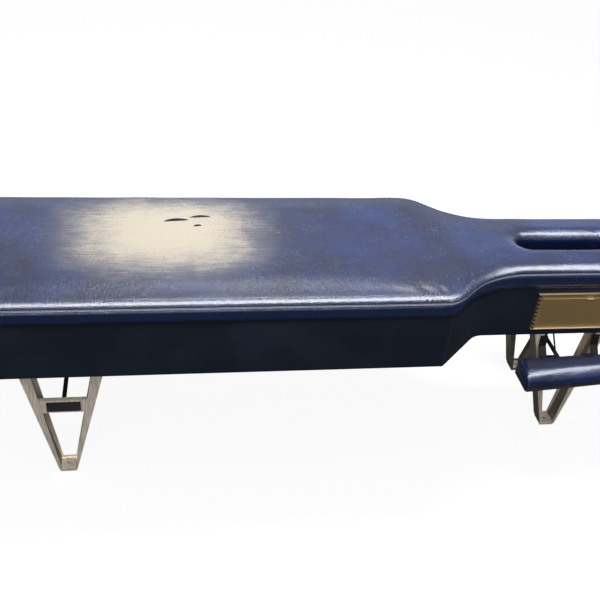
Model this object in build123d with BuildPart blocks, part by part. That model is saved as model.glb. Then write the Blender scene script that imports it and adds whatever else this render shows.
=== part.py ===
from build123d import *
import os
from math import cos, radians, sin, tan

# A padded treatment bench with a narrow head section. X runs along the table towards the
# head, Y across it towards the far side, Z up. The origin is on the floor under the middle.

# Plan of the body
table_length = 1920.0
torso_width = 530.0
head_width = 266.0
head_panel_length = 480.0
shoulder_angle = 45.0

# Heights
floor_to_body = 338.0
apron_depth = 167.0
boxing_height = 46.0
crown_height = 24.0

# Body boards
panel_thickness = 15.0
panel_edge_radius = 3.0
deck_thickness = 12.0
deck_batten_width = 40.0
deck_batten_height = 36.0
deck_batten_spacing = 420.0
leg_batten_width = 64.0
leg_batten_height = 24.0

# Cushion
cushion_overhang = 12.0
cushion_shoulder_radius = 100.0
cushion_neck_radius = 250.0
cushion_corner_radius = 40.0
cushion_top_radius = 24.0
cushion_bottom_chamfer = 4.0
slot_width = 66.0
slot_length = 300.0
slot_from_head_end = 65.0
slot_roll_radius = 28.0
deck_slot_clearance = 6.0

# Folded sheet legs
leg_from_foot_end = 274.0
leg_from_head_end = 184.0
leg_depth = 51.0
leg_sheet = 3.0
leg_top_half_width = 110.0
leg_foot_half_width = 23.0
leg_flange_top = 30.0
leg_flange_foot = 7.0
leg_lip_height = 8.0
leg_bend_radius = 8.0
leg_splay = 4.5
leg_tab_length = 22.0
leg_top_setback_torso = 30.0
leg_top_setback_head = 1.6
foot_hole_radius = 4.2
foot_pad_thickness = 4.0
foot_pad_inset = 2.0

# Cross strips and spreader bars
strip_top = 240.0
strip_height = 38.0
strip_sheet = 2.5
strip_return = 14.0
spreader_radius = 6.0
spreader_drop = 12.0
label_length = 88.0
label_height = 30.0
label_thickness = 1.0
label_corner_radius = 2.0

# Fasteners
bolt_radius = 3.0
bolt_head_radius = 5.5
bolt_head_height = 4.0
bolt_clearance = 0.1
bolt_end_gap = 1.0
leg_bolt_depth = 18.0

# Compartment in the near side of the head section
door_from_head_end = 39.0
compartment_width = 280.0
frame_bottom_above_body = 26.0
frame_height = 120.0
frame_sheet = 2.0
frame_band_height = 14.0
frame_band_proud = 1.5
bottom_lip_proud = 9.0
top_lip_proud = 7.0
liner_sheet = 1.2
liner_depth = 78.0
door_sheet = 1.2
door_flange_depth = 10.0
door_gap = 1.2
door_proud = 4.1
finger_tab_from_hinge = 152.0
finger_tab_width = 20.0
finger_tab_reach = 5.0
catch_width = 28.0
catch_height = 13.0
catch_depth = 22.0
catch_from_edge = 12.0
catch_corner_radius = 2.0
strike_thickness = 1.0
rest_gap = 0.3

# Piano hinge
hinge_barrel_radius = 4.0
hinge_pin_radius = 1.6
hinge_fit = 0.05
hinge_sheet = 1.2
hinge_leaf_width = 7.0
hinge_spine_depth = 1.0
knuckle_count = 17
knuckle_gap = 0.3

# Armrests
armrest_length = 352.0
armrest_end_depth = 94.0
armrest_head_depth = 76.0
armrest_rear_gap = 55.0
armrest_rear_toe_in = 13.0
armrest_board_bottom = 250.0
armrest_board_thickness = 12.0
armrest_board_inset = 1.5
armrest_pad_height = 43.0
armrest_front_roll = 27.0
armrest_rear_roll = 10.0
armrest_end_roll = 7.0
armrest_pin_gap = 30.0
armrest_pin_height = 270.0
armrest_pin_radius = 4.0
armrest_pin_overrun = 5.0
armrest_pin_head_radius = 6.5
armrest_pin_head_thickness = 3.0
armrest_pin_fit = 0.05
hanger_offset = 81.0
hanger_width = 22.0
hanger_thickness = 4.0
hanger_top_gap = 4.0
hanger_pad_height = 34.0
hanger_eye_radius = 9.0
hanger_bolt_offset = 4.0
hanger_bolt_spacing = 16.0
hanger_bend_clearance = 0.05
block_offset = 54.0
block_width = 28.0
block_boss_radius = 12.0
block_top_above_pin = 20.0
block_tongue_thickness = 6.0
block_tongue_reach = 62.0
block_to_pad = 2.0
stop_rod_radius = 2.5
stop_rod_offset = 52.0
stop_rod_slope = 45.0

# Worked out from the sizes above
body_top = floor_to_body + apron_depth
table_top = body_top + boxing_height + crown_height
x_foot = -table_length / 2 + cushion_overhang
x_head = table_length / 2 - cushion_overhang
x_neck = x_head - head_panel_length
x_shoulder = x_neck - (torso_width - head_width) / 2 / tan(radians(shoulder_angle))
mitre = tan(radians(shoulder_angle / 2))
x_leg_head = x_head - leg_from_head_end
x_leg_foot = x_foot + leg_from_foot_end
leg_height = floor_to_body - foot_pad_thickness
lean = tan(radians(leg_splay))
y_head_face = -head_width / 2
y_torso_face = -torso_width / 2
x_slot = x_head + cushion_overhang - slot_from_head_end - slot_length / 2

os.makedirs("parts", exist_ok=True)


def keep(builder, name):
    """Label a finished piece and write it to its own file."""
    builder.part.label = name
    export_step(builder.part, f"parts/{name}.step")


def across(builder):
    """The same piece on the far side of the table."""
    with BuildPart() as far:
        mirror(builder.part, about=Plane.XZ)
    return far


def near_corners(inset):
    """Corners of the near side of the body in plan, moved inwards by an inset."""
    return [
        (x_foot + inset, y_torso_face + inset),
        (x_shoulder - inset * mitre, y_torso_face + inset),
        (x_neck - inset * mitre, y_head_face + inset),
        (x_head - inset, y_head_face + inset),
    ]


def whole_outline(inset):
    """Corners of the whole body in plan, near side first."""
    near = near_corners(inset)
    far = [(x, -y) for x, y in reversed(near)]
    return near + far


def block_between(low, high):
    """A rectangular block between two opposite corners, added to the open part."""
    size = [high[i] - low[i] for i in range(3)]
    with BuildSketch(Plane.XY.offset(low[2])) as base:
        with Locations(((low[0] + high[0]) / 2, (low[1] + high[1]) / 2)):
            Rectangle(size[0], size[1])
    extrude(base.sketch, amount=size[2])


# Side panels of the body, mitred where they meet

def side_panel(first):
    """The near panel between one plan corner and the next, with its lower edge rounded."""
    outer = near_corners(0)
    inner = near_corners(panel_thickness)
    ring = [outer[first], outer[first + 1], inner[first + 1], inner[first]]
    if first == 0:
        ring[3] = (outer[0][0], inner[0][1])
    if first == 2:
        ring[2] = (outer[3][0], inner[3][1])
    with BuildPart() as panel:
        with BuildSketch(Plane.XY.offset(floor_to_body)):
            with BuildLine():
                Polyline(*ring, close=True)
            make_face()
        extrude(amount=apron_depth)
        middle = Vector(
            (outer[first][0] + outer[first + 1][0]) / 2,
            (outer[first][1] + outer[first + 1][1]) / 2,
            floor_to_body,
        )
        lower = panel.edges().group_by(Axis.Z)[0]
        fillet(lower.sort_by_distance(middle)[0], panel_edge_radius)
    return panel


def end_panel(x_outer, direction, width):
    """The board that closes one end between the side panels."""
    half = width / 2 - panel_thickness
    reach = x_outer + direction * panel_thickness
    with BuildPart() as panel:
        block_between(
            (min(x_outer, reach), -half, floor_to_body),
            (max(x_outer, reach), half, body_top),
        )
    return panel


torso_panel = side_panel(0)
keep(torso_panel, "torso_side_panel_near")
keep(across(torso_panel), "torso_side_panel_far")

shoulder_panel = side_panel(1)
keep(shoulder_panel, "shoulder_panel_near")
keep(across(shoulder_panel), "shoulder_panel_far")

keep(across(side_panel(2)), "head_side_panel_far")

keep(end_panel(x_foot, 1, torso_width), "foot_end_panel")
keep(end_panel(x_head, -1, head_width), "head_end_panel")

# Compartment places, used by the near head panel and everything in the compartment
door_x1 = x_head - door_from_head_end
door_x0 = door_x1 - compartment_width
door_z0 = floor_to_body + frame_bottom_above_body
door_z1 = door_z0 + frame_height
aperture_top = door_z1 - frame_band_height
y_panel_rear = y_head_face + panel_thickness

with BuildPart() as head_panel_near:
    add(side_panel(2).part)
    with BuildSketch(Plane.XZ.offset(-y_head_face)):
        with Locations(((door_x0 + door_x1) / 2, (door_z0 + aperture_top) / 2)):
            Rectangle(compartment_width, aperture_top - door_z0)
    extrude(amount=panel_thickness, both=True, mode=Mode.SUBTRACT)
keep(head_panel_near, "head_side_panel_near")


# Deck board and the battens under it

with BuildPart() as deck_board:
    with BuildSketch(Plane.XY.offset(body_top - deck_thickness)):
        with BuildLine():
            Polyline(*whole_outline(panel_thickness), close=True)
        make_face()
        with Locations((x_slot, 0)):
            SlotOverall(
                slot_length + 2 * deck_slot_clearance,
                slot_width + 2 * deck_slot_clearance,
                mode=Mode.SUBTRACT,
            )
    extrude(amount=deck_thickness)
keep(deck_board, "deck_board")

deck_batten_half = torso_width / 2 - panel_thickness
deck_bottom = body_top - deck_thickness
for name, x_middle in (
    ("deck_batten_foot", -deck_batten_spacing),
    ("deck_batten_middle", 0.0),
):
    with BuildPart() as deck_batten:
        block_between(
            (x_middle - deck_batten_width / 2, -deck_batten_half, deck_bottom - deck_batten_height),
            (x_middle + deck_batten_width / 2, deck_batten_half, deck_bottom),
        )
    keep(deck_batten, name)


# Cushion: one foam block with the neck curve, a rolled top edge and the face slot

with BuildPart() as cushion:
    with BuildSketch(Plane.XY.offset(body_top)) as cushion_plan:
        with BuildLine():
            Polyline(*whole_outline(-cushion_overhang), close=True)
        make_face()
        corners = near_corners(-cushion_overhang)
        radii = (
            cushion_corner_radius,
            cushion_shoulder_radius,
            cushion_neck_radius,
            cushion_corner_radius,
        )
        for (x_corner, y_corner), radius in zip(corners, radii):
            for side in (1, -1):
                corner = Vector(x_corner, side * y_corner, 0)
                nearest = cushion_plan.vertices().sort_by_distance(corner)[0]
                fillet(nearest, radius)
    extrude(amount=table_top - body_top)
    fillet(cushion.edges().group_by(Axis.Z)[-1], cushion_top_radius)
    chamfer(cushion.edges().group_by(Axis.Z)[0], cushion_bottom_chamfer)
    with BuildSketch(Plane.XY.offset(body_top)):
        with Locations((x_slot, 0)):
            SlotOverall(slot_length, slot_width)
    extrude(amount=table_top - body_top, mode=Mode.SUBTRACT)
    rim_edges = cushion.edges().group_by(Axis.Z)[-1].filter_by(
        lambda edge: abs(edge.center().Y) < slot_width
        and abs(edge.center().X - x_slot) < slot_length
    )
    fillet(rim_edges, slot_roll_radius)
keep(cushion, "cushion")


# Legs: each is one strip of sheet folded into a V, with a flat foot and tapering flanges

def leg_plane(x_middle, y_front, depth=0.0):
    """The sloping plane of a near leg's front, moved back by a depth."""
    slope = radians(leg_splay)
    return Plane(
        origin=(x_middle, y_front + depth, foot_pad_thickness),
        x_dir=(1, 0, 0),
        z_dir=(0, -cos(slope), sin(slope)),
    )


def slant(height):
    """Length along the sloping plane for a height above the foot."""
    return height / cos(radians(leg_splay))


def limb_outside(height):
    """Half width over the outside of the V at a height above the foot."""
    share = height / leg_height
    return leg_foot_half_width + (leg_top_half_width - leg_foot_half_width) * share


def limb_web(height):
    """Half width inside the web of the V at a height above the foot."""
    rise = (leg_top_half_width - leg_foot_half_width) / leg_height
    return limb_outside(height) - leg_sheet * (1 + rise * rise) ** 0.5


def limb_flange(height):
    """Half width between the inner edges of the flanges at a height above the foot."""
    share = height / leg_height
    return limb_outside(height) - leg_flange_foot - (leg_flange_top - leg_flange_foot) * share


def v_outline(inner_half_width, floor):
    """Corners of a V shape whose hollow has the given half width above a floor."""
    top = slant(leg_height)
    right = [
        (leg_foot_half_width, 0),
        (leg_top_half_width, top),
        (inner_half_width(leg_height), top),
        (inner_half_width(floor), slant(floor)),
    ]
    left = [(-x, v) for x, v in reversed(right)]
    return right + left


def v_sketch(plane, inner_half_width, floor):
    """A V-shaped face on a leg plane, with bent corners at the foot."""
    with BuildSketch(plane) as face:
        with BuildLine():
            Polyline(*v_outline(inner_half_width, floor), close=True)
        make_face()
        foot_corners = face.vertices().group_by(Axis.Y)[0]
        fillet(foot_corners, leg_bend_radius)
    return face.sketch


def leg_front_at_foot(y_face, setback):
    """Where the leg's front is at the foot, for a set-back from the panel at the top."""
    return y_face + setback - leg_height * lean


def leg_top_middle(y_front):
    """Middle of the leg's depth at its top."""
    return y_front + leg_height * lean + leg_depth / 2


def tab_middle(x_middle, side):
    """Middle of a mounting tab along the table."""
    return x_middle + side * (limb_web(leg_height) - leg_tab_length / 2)


def make_leg(x_middle, y_front, hanger_holes):
    """A near leg: web, flanges, mounting tabs and holes."""
    back = (0, 1, 0)
    with BuildPart() as leg:
        front = leg_plane(x_middle, y_front)
        rear = leg_plane(x_middle, y_front, leg_depth - leg_sheet)
        extrude(v_sketch(front, limb_flange, leg_lip_height), amount=leg_sheet, dir=back)
        extrude(v_sketch(front, limb_web, leg_sheet), amount=leg_depth, dir=back)
        extrude(v_sketch(rear, limb_flange, leg_lip_height), amount=leg_sheet, dir=back)
        y_top = leg_top_middle(y_front)
        half = (leg_depth - leg_sheet) / 2
        for side in (-1, 1):
            x_tab = tab_middle(x_middle, side)
            block_between(
                (x_tab - leg_tab_length / 2 - leg_sheet / 2, y_top - half, floor_to_body - leg_sheet),
                (x_tab + leg_tab_length / 2 + leg_sheet / 2, y_top + half, floor_to_body),
            )
            with Locations((x_tab, y_top, floor_to_body)):
                Hole(bolt_radius + bolt_clearance, 2 * leg_sheet)
        with Locations((x_middle, y_front + leg_depth / 2, foot_pad_thickness + leg_sheet)):
            Hole(foot_hole_radius, 2 * leg_sheet)
        if hanger_holes:
            for plane in hanger_bolt_planes(x_middle, y_front):
                with BuildSketch(plane):
                    Circle(bolt_radius + bolt_clearance)
                extrude(amount=-2 * leg_sheet - hanger_thickness, mode=Mode.SUBTRACT)
    return leg


def hanger_bolt_planes(x_middle, y_front):
    """Planes on the outer face of the armrest hangers, one at each bolt, facing out."""
    planes = []
    slope = radians(leg_splay)
    outwards = Vector(0, -cos(slope), sin(slope))
    z_middle = floor_to_body - hanger_top_gap - hanger_pad_height / 2
    for side in (-1, 1):
        for step in (-1, 1):
            z_bolt = z_middle + step * hanger_bolt_spacing / 2
            y_bolt = y_front + (z_bolt - foot_pad_thickness) * lean
            x_bolt = x_middle + side * (hanger_offset + hanger_bolt_offset)
            origin = Vector(x_bolt, y_bolt, z_bolt) + outwards * hanger_thickness
            planes.append(Plane(origin=origin, x_dir=(1, 0, 0), z_dir=outwards))
    return planes


def make_strip(x_middle, y_front):
    """A near cross strip: a shallow channel welded between the limbs."""
    low = strip_top - strip_height - foot_pad_thickness
    high = strip_top - foot_pad_thickness
    bands = (
        (low, high, strip_sheet),
        (low, low + strip_sheet, strip_return),
        (high - strip_sheet, high, strip_return),
    )
    with BuildPart() as strip:
        for bottom, top, depth in bands:
            with BuildSketch(leg_plane(x_middle, y_front, leg_sheet)):
                with BuildLine():
                    Polyline(
                        (-limb_web(bottom), slant(bottom)),
                        (limb_web(bottom), slant(bottom)),
                        (limb_web(top), slant(top)),
                        (-limb_web(top), slant(top)),
                        close=True,
                    )
                make_face()
            extrude(amount=depth, dir=(0, 1, 0))
    return strip


def make_foot_pad(x_middle, y_front):
    """The rubber pad under a foot."""
    half_x = leg_foot_half_width - foot_pad_inset
    with BuildPart() as pad:
        block_between(
            (x_middle - half_x, y_front + foot_pad_inset, 0),
            (x_middle + half_x, y_front + leg_depth - foot_pad_inset, foot_pad_thickness),
        )
        with Locations((x_middle, y_front + leg_depth / 2, foot_pad_thickness)):
            Hole(foot_hole_radius, foot_pad_thickness)
    return pad


def make_spreader(x_middle, y_front):
    """A round bar between the two cross strips of one end, cut to their slope."""
    z_bar = strip_top - spreader_drop
    with BuildPart() as bar:
        with BuildSketch(Plane.XZ):
            with Locations((x_middle, z_bar)):
                Circle(spreader_radius)
        extrude(amount=-y_front, both=True)
        near = leg_plane(x_middle, y_front, leg_sheet + strip_sheet)
        split(bisect_by=near, keep=Keep.BOTTOM)
        slope = radians(leg_splay)
        far = Plane(
            origin=(x_middle, -y_front - leg_sheet - strip_sheet, foot_pad_thickness),
            x_dir=(1, 0, 0),
            z_dir=(0, cos(slope), sin(slope)),
        )
        split(bisect_by=far, keep=Keep.BOTTOM)
    return bar


def make_leg_batten(x_middle, half_span, y_bolt):
    """A cross batten flush with the underside, which two legs bolt to."""
    with BuildPart() as batten:
        block_between(
            (x_middle - leg_batten_width / 2, -half_span, floor_to_body),
            (x_middle + leg_batten_width / 2, half_span, floor_to_body + leg_batten_height),
        )
        for side in (-1, 1):
            with BuildSketch(Plane.XY.offset(floor_to_body)):
                with Locations((x_middle, side * y_bolt)):
                    Circle(bolt_radius + bolt_clearance)
            extrude(amount=leg_bolt_depth, mode=Mode.SUBTRACT)
    return batten


y_front_torso = leg_front_at_foot(y_torso_face, leg_top_setback_torso)
y_front_head = leg_front_at_foot(y_head_face, leg_top_setback_head)
leg_places = (
    ("foot", x_leg_foot, y_front_torso, deck_batten_half, False),
    ("head", x_leg_head, y_front_head, head_width / 2 - panel_thickness, True),
)
for end, x_middle, y_front, half_span, hanger_holes in leg_places:
    leg = make_leg(x_middle, y_front, hanger_holes)
    keep(leg, f"{end}_leg_near")
    keep(across(leg), f"{end}_leg_far")
    strip = make_strip(x_middle, y_front)
    keep(strip, f"{end}_cross_strip_near")
    keep(across(strip), f"{end}_cross_strip_far")
    foot_pad = make_foot_pad(x_middle, y_front)
    keep(foot_pad, f"{end}_leg_pad_near")
    keep(across(foot_pad), f"{end}_leg_pad_far")
    keep(make_spreader(x_middle, y_front), f"{end}_spreader_bar")
    for side, word in ((-1, "outer"), (1, "inner")):
        outward = side if end == "foot" else -side
        x_batten = tab_middle(x_middle, outward)
        batten = make_leg_batten(x_batten, half_span, leg_top_middle(y_front))
        keep(batten, f"{end}_leg_batten_{word}")

with BuildPart() as label_plate:
    label_middle = slant(strip_top - strip_height / 2 - foot_pad_thickness)
    with BuildSketch(leg_plane(x_leg_foot, y_front_torso, leg_sheet)):
        with Locations((0, label_middle)):
            RectangleRounded(label_length, label_height, label_corner_radius)
    extrude(amount=label_thickness)
keep(label_plate, "blank_plate")


# Leg bolts, all alike, in one group

with BuildPart() as leg_bolts:
    for end, x_middle, y_front, half_span, hanger_holes in leg_places:
        for side in (-1, 1):
            for row in (-1, 1):
                place = (tab_middle(x_middle, side), row * leg_top_middle(y_front))
                with BuildSketch(Plane.XY.offset(floor_to_body - leg_sheet)):
                    with Locations(place):
                        RegularPolygon(bolt_head_radius, 6)
                extrude(amount=-bolt_head_height)
                with BuildSketch(Plane.XY.offset(floor_to_body - leg_sheet)):
                    with Locations(place):
                        Circle(bolt_radius)
                extrude(amount=leg_sheet + leg_bolt_depth - bolt_end_gap)
keep(leg_bolts, "leg_bolts")


# Places of the piano hinge and the door's face, with the hinge axis upright

hinge_x = door_x0 + hinge_sheet + hinge_barrel_radius
hinge_y = y_head_face - hinge_barrel_radius - rest_gap
hinge_z0 = door_z0 + frame_sheet + knuckle_gap
hinge_z1 = door_z1 - frame_sheet - knuckle_gap
knuckle_pitch = (hinge_z1 - hinge_z0) / knuckle_count
door_outer_y = hinge_y + rest_gap
strip_x0 = hinge_x + hinge_barrel_radius + rest_gap


# Door frame: a sleeve through the panel, lips above and below, and a band over the door

y_lip_bottom = y_head_face - bottom_lip_proud
y_lip_top = y_head_face - top_lip_proud
with BuildPart() as door_frame:
    block_between(
        (door_x0, y_lip_bottom, door_z0),
        (door_x1, y_panel_rear, door_z0 + frame_sheet),
    )
    block_between(
        (door_x1 - frame_sheet, y_lip_top, door_z0),
        (door_x1, y_panel_rear, aperture_top),
    )
    block_between(
        (door_x0, y_head_face, door_z0),
        (door_x0 + hinge_sheet, y_panel_rear, aperture_top),
    )
    block_between(
        (door_x0, y_head_face, aperture_top - frame_sheet),
        (door_x1, y_panel_rear, aperture_top),
    )
    block_between(
        (strip_x0, y_head_face - frame_band_proud, aperture_top - frame_sheet),
        (door_x1, y_head_face, door_z1),
    )
    block_between(
        (door_x1 - frame_sheet, y_lip_top, aperture_top - frame_sheet),
        (door_x1, y_head_face, door_z1),
    )
    block_between(
        (door_x0, y_lip_top, door_z1 - frame_sheet),
        (door_x1, y_head_face, door_z1),
    )
keep(door_frame, "door_frame")


# Compartment liner: a folded tray with its open side to the door

with BuildPart() as liner:
    block_between(
        (door_x0, y_panel_rear, door_z0),
        (door_x1, y_panel_rear + liner_depth, aperture_top),
    )
    offset(
        amount=-liner_sheet,
        openings=liner.faces().sort_by(Axis.Y)[0],
        mode=Mode.REPLACE,
    )
keep(liner, "compartment_liner")


# Piano hinge at the door's foot end: two leaves with knuckles in turn, and a pin


def knuckle(number):
    """One barrel of the hinge, added to the open part, and the heights that it spans."""
    low = hinge_z0 + number * knuckle_pitch + knuckle_gap / 2
    high = low + knuckle_pitch - knuckle_gap
    with BuildSketch(Plane.XY.offset(low)) as ring:
        with Locations((hinge_x, hinge_y)):
            Circle(hinge_barrel_radius)
    extrude(ring.sketch, amount=high - low)
    return low, high


def hinge_bore():
    """The pin's bore, cut from the open part."""
    with BuildSketch(Plane.XY.offset(hinge_z0)) as bore:
        with Locations((hinge_x, hinge_y)):
            Circle(hinge_pin_radius + hinge_fit)
    extrude(bore.sketch, amount=hinge_z1 - hinge_z0, mode=Mode.SUBTRACT)


with BuildPart() as hinge_leaf_fixed:
    leaf_x0 = door_x0 + hinge_sheet
    leaf_bottom = door_z0 + frame_sheet
    block_between(
        (leaf_x0, y_head_face, leaf_bottom),
        (leaf_x0 + hinge_sheet, y_panel_rear, aperture_top - frame_sheet),
    )
    block_between(
        (leaf_x0, y_head_face - hinge_spine_depth, leaf_bottom),
        (leaf_x0 + hinge_sheet, y_head_face, hinge_z1),
    )
    for number in range(0, knuckle_count, 2):
        low, high = knuckle(number)
        block_between(
            (leaf_x0, hinge_y, low),
            (leaf_x0 + hinge_sheet, y_head_face, high),
        )
    hinge_bore()
keep(hinge_leaf_fixed, "hinge_leaf_fixed")

strip_x1 = strip_x0 + hinge_leaf_width
strip_y0 = door_outer_y - hinge_sheet
with BuildPart() as hinge_leaf_moving:
    block_between((strip_x0, strip_y0, hinge_z0), (strip_x1, door_outer_y, hinge_z1))
    for number in range(1, knuckle_count, 2):
        low, high = knuckle(number)
        block_between((hinge_x, strip_y0, low), (strip_x0, door_outer_y, high))
    hinge_bore()
keep(hinge_leaf_moving, "hinge_leaf_moving")

with BuildPart() as hinge_pin:
    with BuildSketch(Plane.XY.offset(hinge_z0)):
        with Locations((hinge_x, hinge_y)):
            Circle(hinge_pin_radius)
    extrude(amount=hinge_z1 - hinge_z0)
keep(hinge_pin, "hinge_pin")


# Door: a folded pan with a finger tab, and the strike plate behind its free edge

pan_x0 = strip_x0 + door_gap / 2
pan_x1 = door_x1 - frame_sheet - door_gap
pan_z0 = door_z0 + frame_sheet + door_gap
pan_z1 = aperture_top - frame_sheet - door_gap
pan_rear = door_outer_y + door_flange_depth
with BuildPart() as door_panel:
    block_between((pan_x0, door_outer_y, pan_z0), (pan_x1, pan_rear, pan_z1))
    offset(
        amount=-door_sheet,
        openings=door_panel.faces().sort_by(Axis.Y)[-1],
        mode=Mode.REPLACE,
    )
    tab_x = hinge_x + finger_tab_from_hinge
    block_between(
        (tab_x - finger_tab_width / 2, door_outer_y - finger_tab_reach, pan_z1 - door_sheet),
        (tab_x + finger_tab_width / 2, door_outer_y, pan_z1),
    )
keep(door_panel, "door_panel")

strike_x1 = pan_x1 - catch_from_edge
with BuildPart() as strike_plate:
    block_between(
        (strike_x1 - catch_width, pan_rear, pan_z1 - catch_height),
        (strike_x1, pan_rear + strike_thickness, pan_z1),
    )
keep(strike_plate, "strike_plate")

catch_y = pan_rear + strike_thickness + rest_gap
catch_top = aperture_top - frame_sheet
with BuildPart() as magnet_catch:
    block_between(
        (strike_x1 - catch_width, catch_y, catch_top - catch_height),
        (strike_x1, catch_y + catch_depth, catch_top),
    )
    fillet(magnet_catch.edges().filter_by(Axis.Y), catch_corner_radius)
keep(magnet_catch, "magnet_catch")


# Armrests: hangers on the head legs, a pin, hinge blocks, a board and its pad

pin_y = y_head_face - armrest_pin_gap
armrest_x0 = x_leg_head - armrest_length / 2
armrest_x1 = x_leg_head + armrest_length / 2
armrest_rear = y_head_face - armrest_rear_gap
board_top = armrest_board_bottom + armrest_board_thickness


def armrest_rear_at(x):
    """The rear edge of an armrest, which toes in towards the table at its head end."""
    return armrest_rear + armrest_rear_toe_in * (x - armrest_x0) / armrest_length


def hanger_front(z):
    """The face of the head leg that a hanger lies on, at a height above the floor."""
    return y_front_head + (z - foot_pad_thickness) * lean


def make_hanger(x_middle):
    """A flat bar bolted to the leg's flange and bent out to the eye for the pin."""
    top = floor_to_body - hanger_top_gap
    bend = top - hanger_pad_height
    half = hanger_thickness / 2
    start = hanger_front(bend) - half / cos(radians(leg_splay)) - hanger_bend_clearance
    with BuildPart() as hanger:
        with BuildSketch(Plane.YZ.offset(x_middle - hanger_width / 2)):
            with BuildLine():
                Polyline(
                    (hanger_front(top), top),
                    (hanger_front(bend), bend),
                    (hanger_front(bend) - hanger_thickness, bend),
                    (hanger_front(top) - hanger_thickness, top),
                    close=True,
                )
            make_face()
            with BuildLine() as middle_line:
                Line((start, bend), (pin_y, armrest_pin_height))
            trace(middle_line.line, hanger_thickness)
            with Locations((start, bend)):
                Circle(half)
            with Locations((pin_y, armrest_pin_height)):
                Circle(hanger_eye_radius)
                Circle(armrest_pin_radius + armrest_pin_fit, mode=Mode.SUBTRACT)
        extrude(amount=hanger_width)
        for plane in hanger_bolt_planes(x_leg_head, y_front_head):
            with BuildSketch(plane):
                Circle(bolt_radius + bolt_clearance)
            extrude(amount=-hanger_thickness, mode=Mode.SUBTRACT)
    return hanger


def make_block(x_middle):
    """A hinge block: a boss round the pin, a stop face on top and a tongue under the board."""
    block_front = armrest_rear_at(x_middle + block_width / 2) + block_to_pad
    tongue_bottom = armrest_board_bottom - block_tongue_thickness
    with BuildPart() as block:
        with BuildSketch(Plane.YZ.offset(x_middle - block_width / 2)):
            with Locations((pin_y, armrest_pin_height)):
                Circle(block_boss_radius)
            with BuildLine():
                Polyline(
                    (pin_y, armrest_pin_height + block_boss_radius),
                    (block_front + block_boss_radius, armrest_pin_height + block_top_above_pin),
                    (block_front, armrest_pin_height + block_top_above_pin),
                    (block_front, armrest_board_bottom),
                    (block_front - block_tongue_reach, armrest_board_bottom),
                    (block_front - block_tongue_reach, tongue_bottom),
                    (block_front, tongue_bottom),
                    (pin_y, armrest_pin_height - block_boss_radius),
                    close=True,
                )
            make_face()
            with Locations((pin_y, armrest_pin_height)):
                Circle(armrest_pin_radius + armrest_pin_fit, mode=Mode.SUBTRACT)
        extrude(amount=block_width)
    return block


def armrest_plan(inset):
    """Corners of an armrest in plan, moved inwards by an inset."""
    return [
        (armrest_x0 + inset, armrest_rear_at(armrest_x0) - inset),
        (armrest_x0 + inset, armrest_rear_at(armrest_x0) - armrest_end_depth + inset),
        (armrest_x1 - inset, armrest_rear_at(armrest_x1) - armrest_head_depth + inset),
        (armrest_x1 - inset, armrest_rear_at(armrest_x1) - inset),
    ]


def make_pad():
    """The padded top, which narrows towards the head end and rolls over at the front."""
    with BuildPart() as pad:
        with BuildSketch(Plane.XY.offset(board_top)):
            with BuildLine():
                Polyline(*armrest_plan(0), close=True)
            make_face()
        extrude(amount=armrest_pad_height)
        fillet(pad.edges().group_by(Axis.Z)[-1].sort_by(Axis.Y)[0], armrest_front_roll)
        fillet(pad.edges().group_by(Axis.Z)[-1].sort_by(Axis.Y)[-1], armrest_rear_roll)
        ends = pad.faces().sort_by(Axis.X)
        rims = ends[0].edges() + ends[-1].edges()
        upper = rims.filter_by(lambda edge: edge.center().Z > board_top + armrest_end_roll)
        fillet(upper, armrest_end_roll)
    return pad


def make_board():
    """The board under the pad."""
    with BuildPart() as board:
        with BuildSketch(Plane.XY.offset(armrest_board_bottom)) as plan:
            with BuildLine():
                Polyline(*armrest_plan(armrest_board_inset), close=True)
            make_face()
            fillet(plan.vertices(), armrest_end_roll)
        extrude(amount=armrest_board_thickness)
    return board


def make_pin():
    """The pin through the hangers and the blocks, with a head at each end."""
    half = hanger_offset + hanger_width / 2 + armrest_pin_overrun
    with BuildPart() as pin:
        with BuildSketch(Plane.YZ.offset(x_leg_head - half)):
            with Locations((pin_y, armrest_pin_height)):
                Circle(armrest_pin_radius)
        extrude(amount=2 * half)
        for x_start in (x_leg_head - half, x_leg_head + half - armrest_pin_head_thickness):
            with BuildSketch(Plane.YZ.offset(x_start)):
                with Locations((pin_y, armrest_pin_height)):
                    Circle(armrest_pin_head_radius)
            extrude(amount=armrest_pin_head_thickness)
    return pin


def make_stop_rod():
    """A thin rod from the underside of the panel down to the stop face of a block."""
    slope = radians(stop_rod_slope)
    y_top = y_head_face + 2 * stop_rod_radius
    z_low = armrest_pin_height + block_top_above_pin + rest_gap
    towards = Vector(0, -sin(slope), -cos(slope))
    top = Vector(x_leg_head - stop_rod_offset, y_top, floor_to_body)
    spare = 2 * stop_rod_radius * tan(slope)
    with BuildPart() as rod:
        with BuildSketch(Plane(origin=top - towards * spare, x_dir=(1, 0, 0), z_dir=towards)):
            Circle(stop_rod_radius)
        extrude(amount=(floor_to_body - z_low) / cos(slope) + 2 * spare)
        split(bisect_by=Plane.XY.offset(floor_to_body), keep=Keep.BOTTOM)
        split(bisect_by=Plane.XY.offset(z_low), keep=Keep.TOP)
    return rod


for word, side in (("foot", -1), ("head", 1)):
    hanger = make_hanger(x_leg_head + side * hanger_offset)
    keep(hanger, f"armrest_hanger_{word}_near")
    keep(across(hanger), f"armrest_hanger_{word}_far")
    block = make_block(x_leg_head + side * block_offset)
    keep(block, f"armrest_block_{word}_near")
    keep(across(block), f"armrest_block_{word}_far")

for name, piece in (
    ("armrest_pad", make_pad()),
    ("armrest_board", make_board()),
    ("armrest_pin", make_pin()),
    ("armrest_stop_rod", make_stop_rod()),
):
    keep(piece, f"{name}_near")
    keep(across(piece), f"{name}_far")

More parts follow.
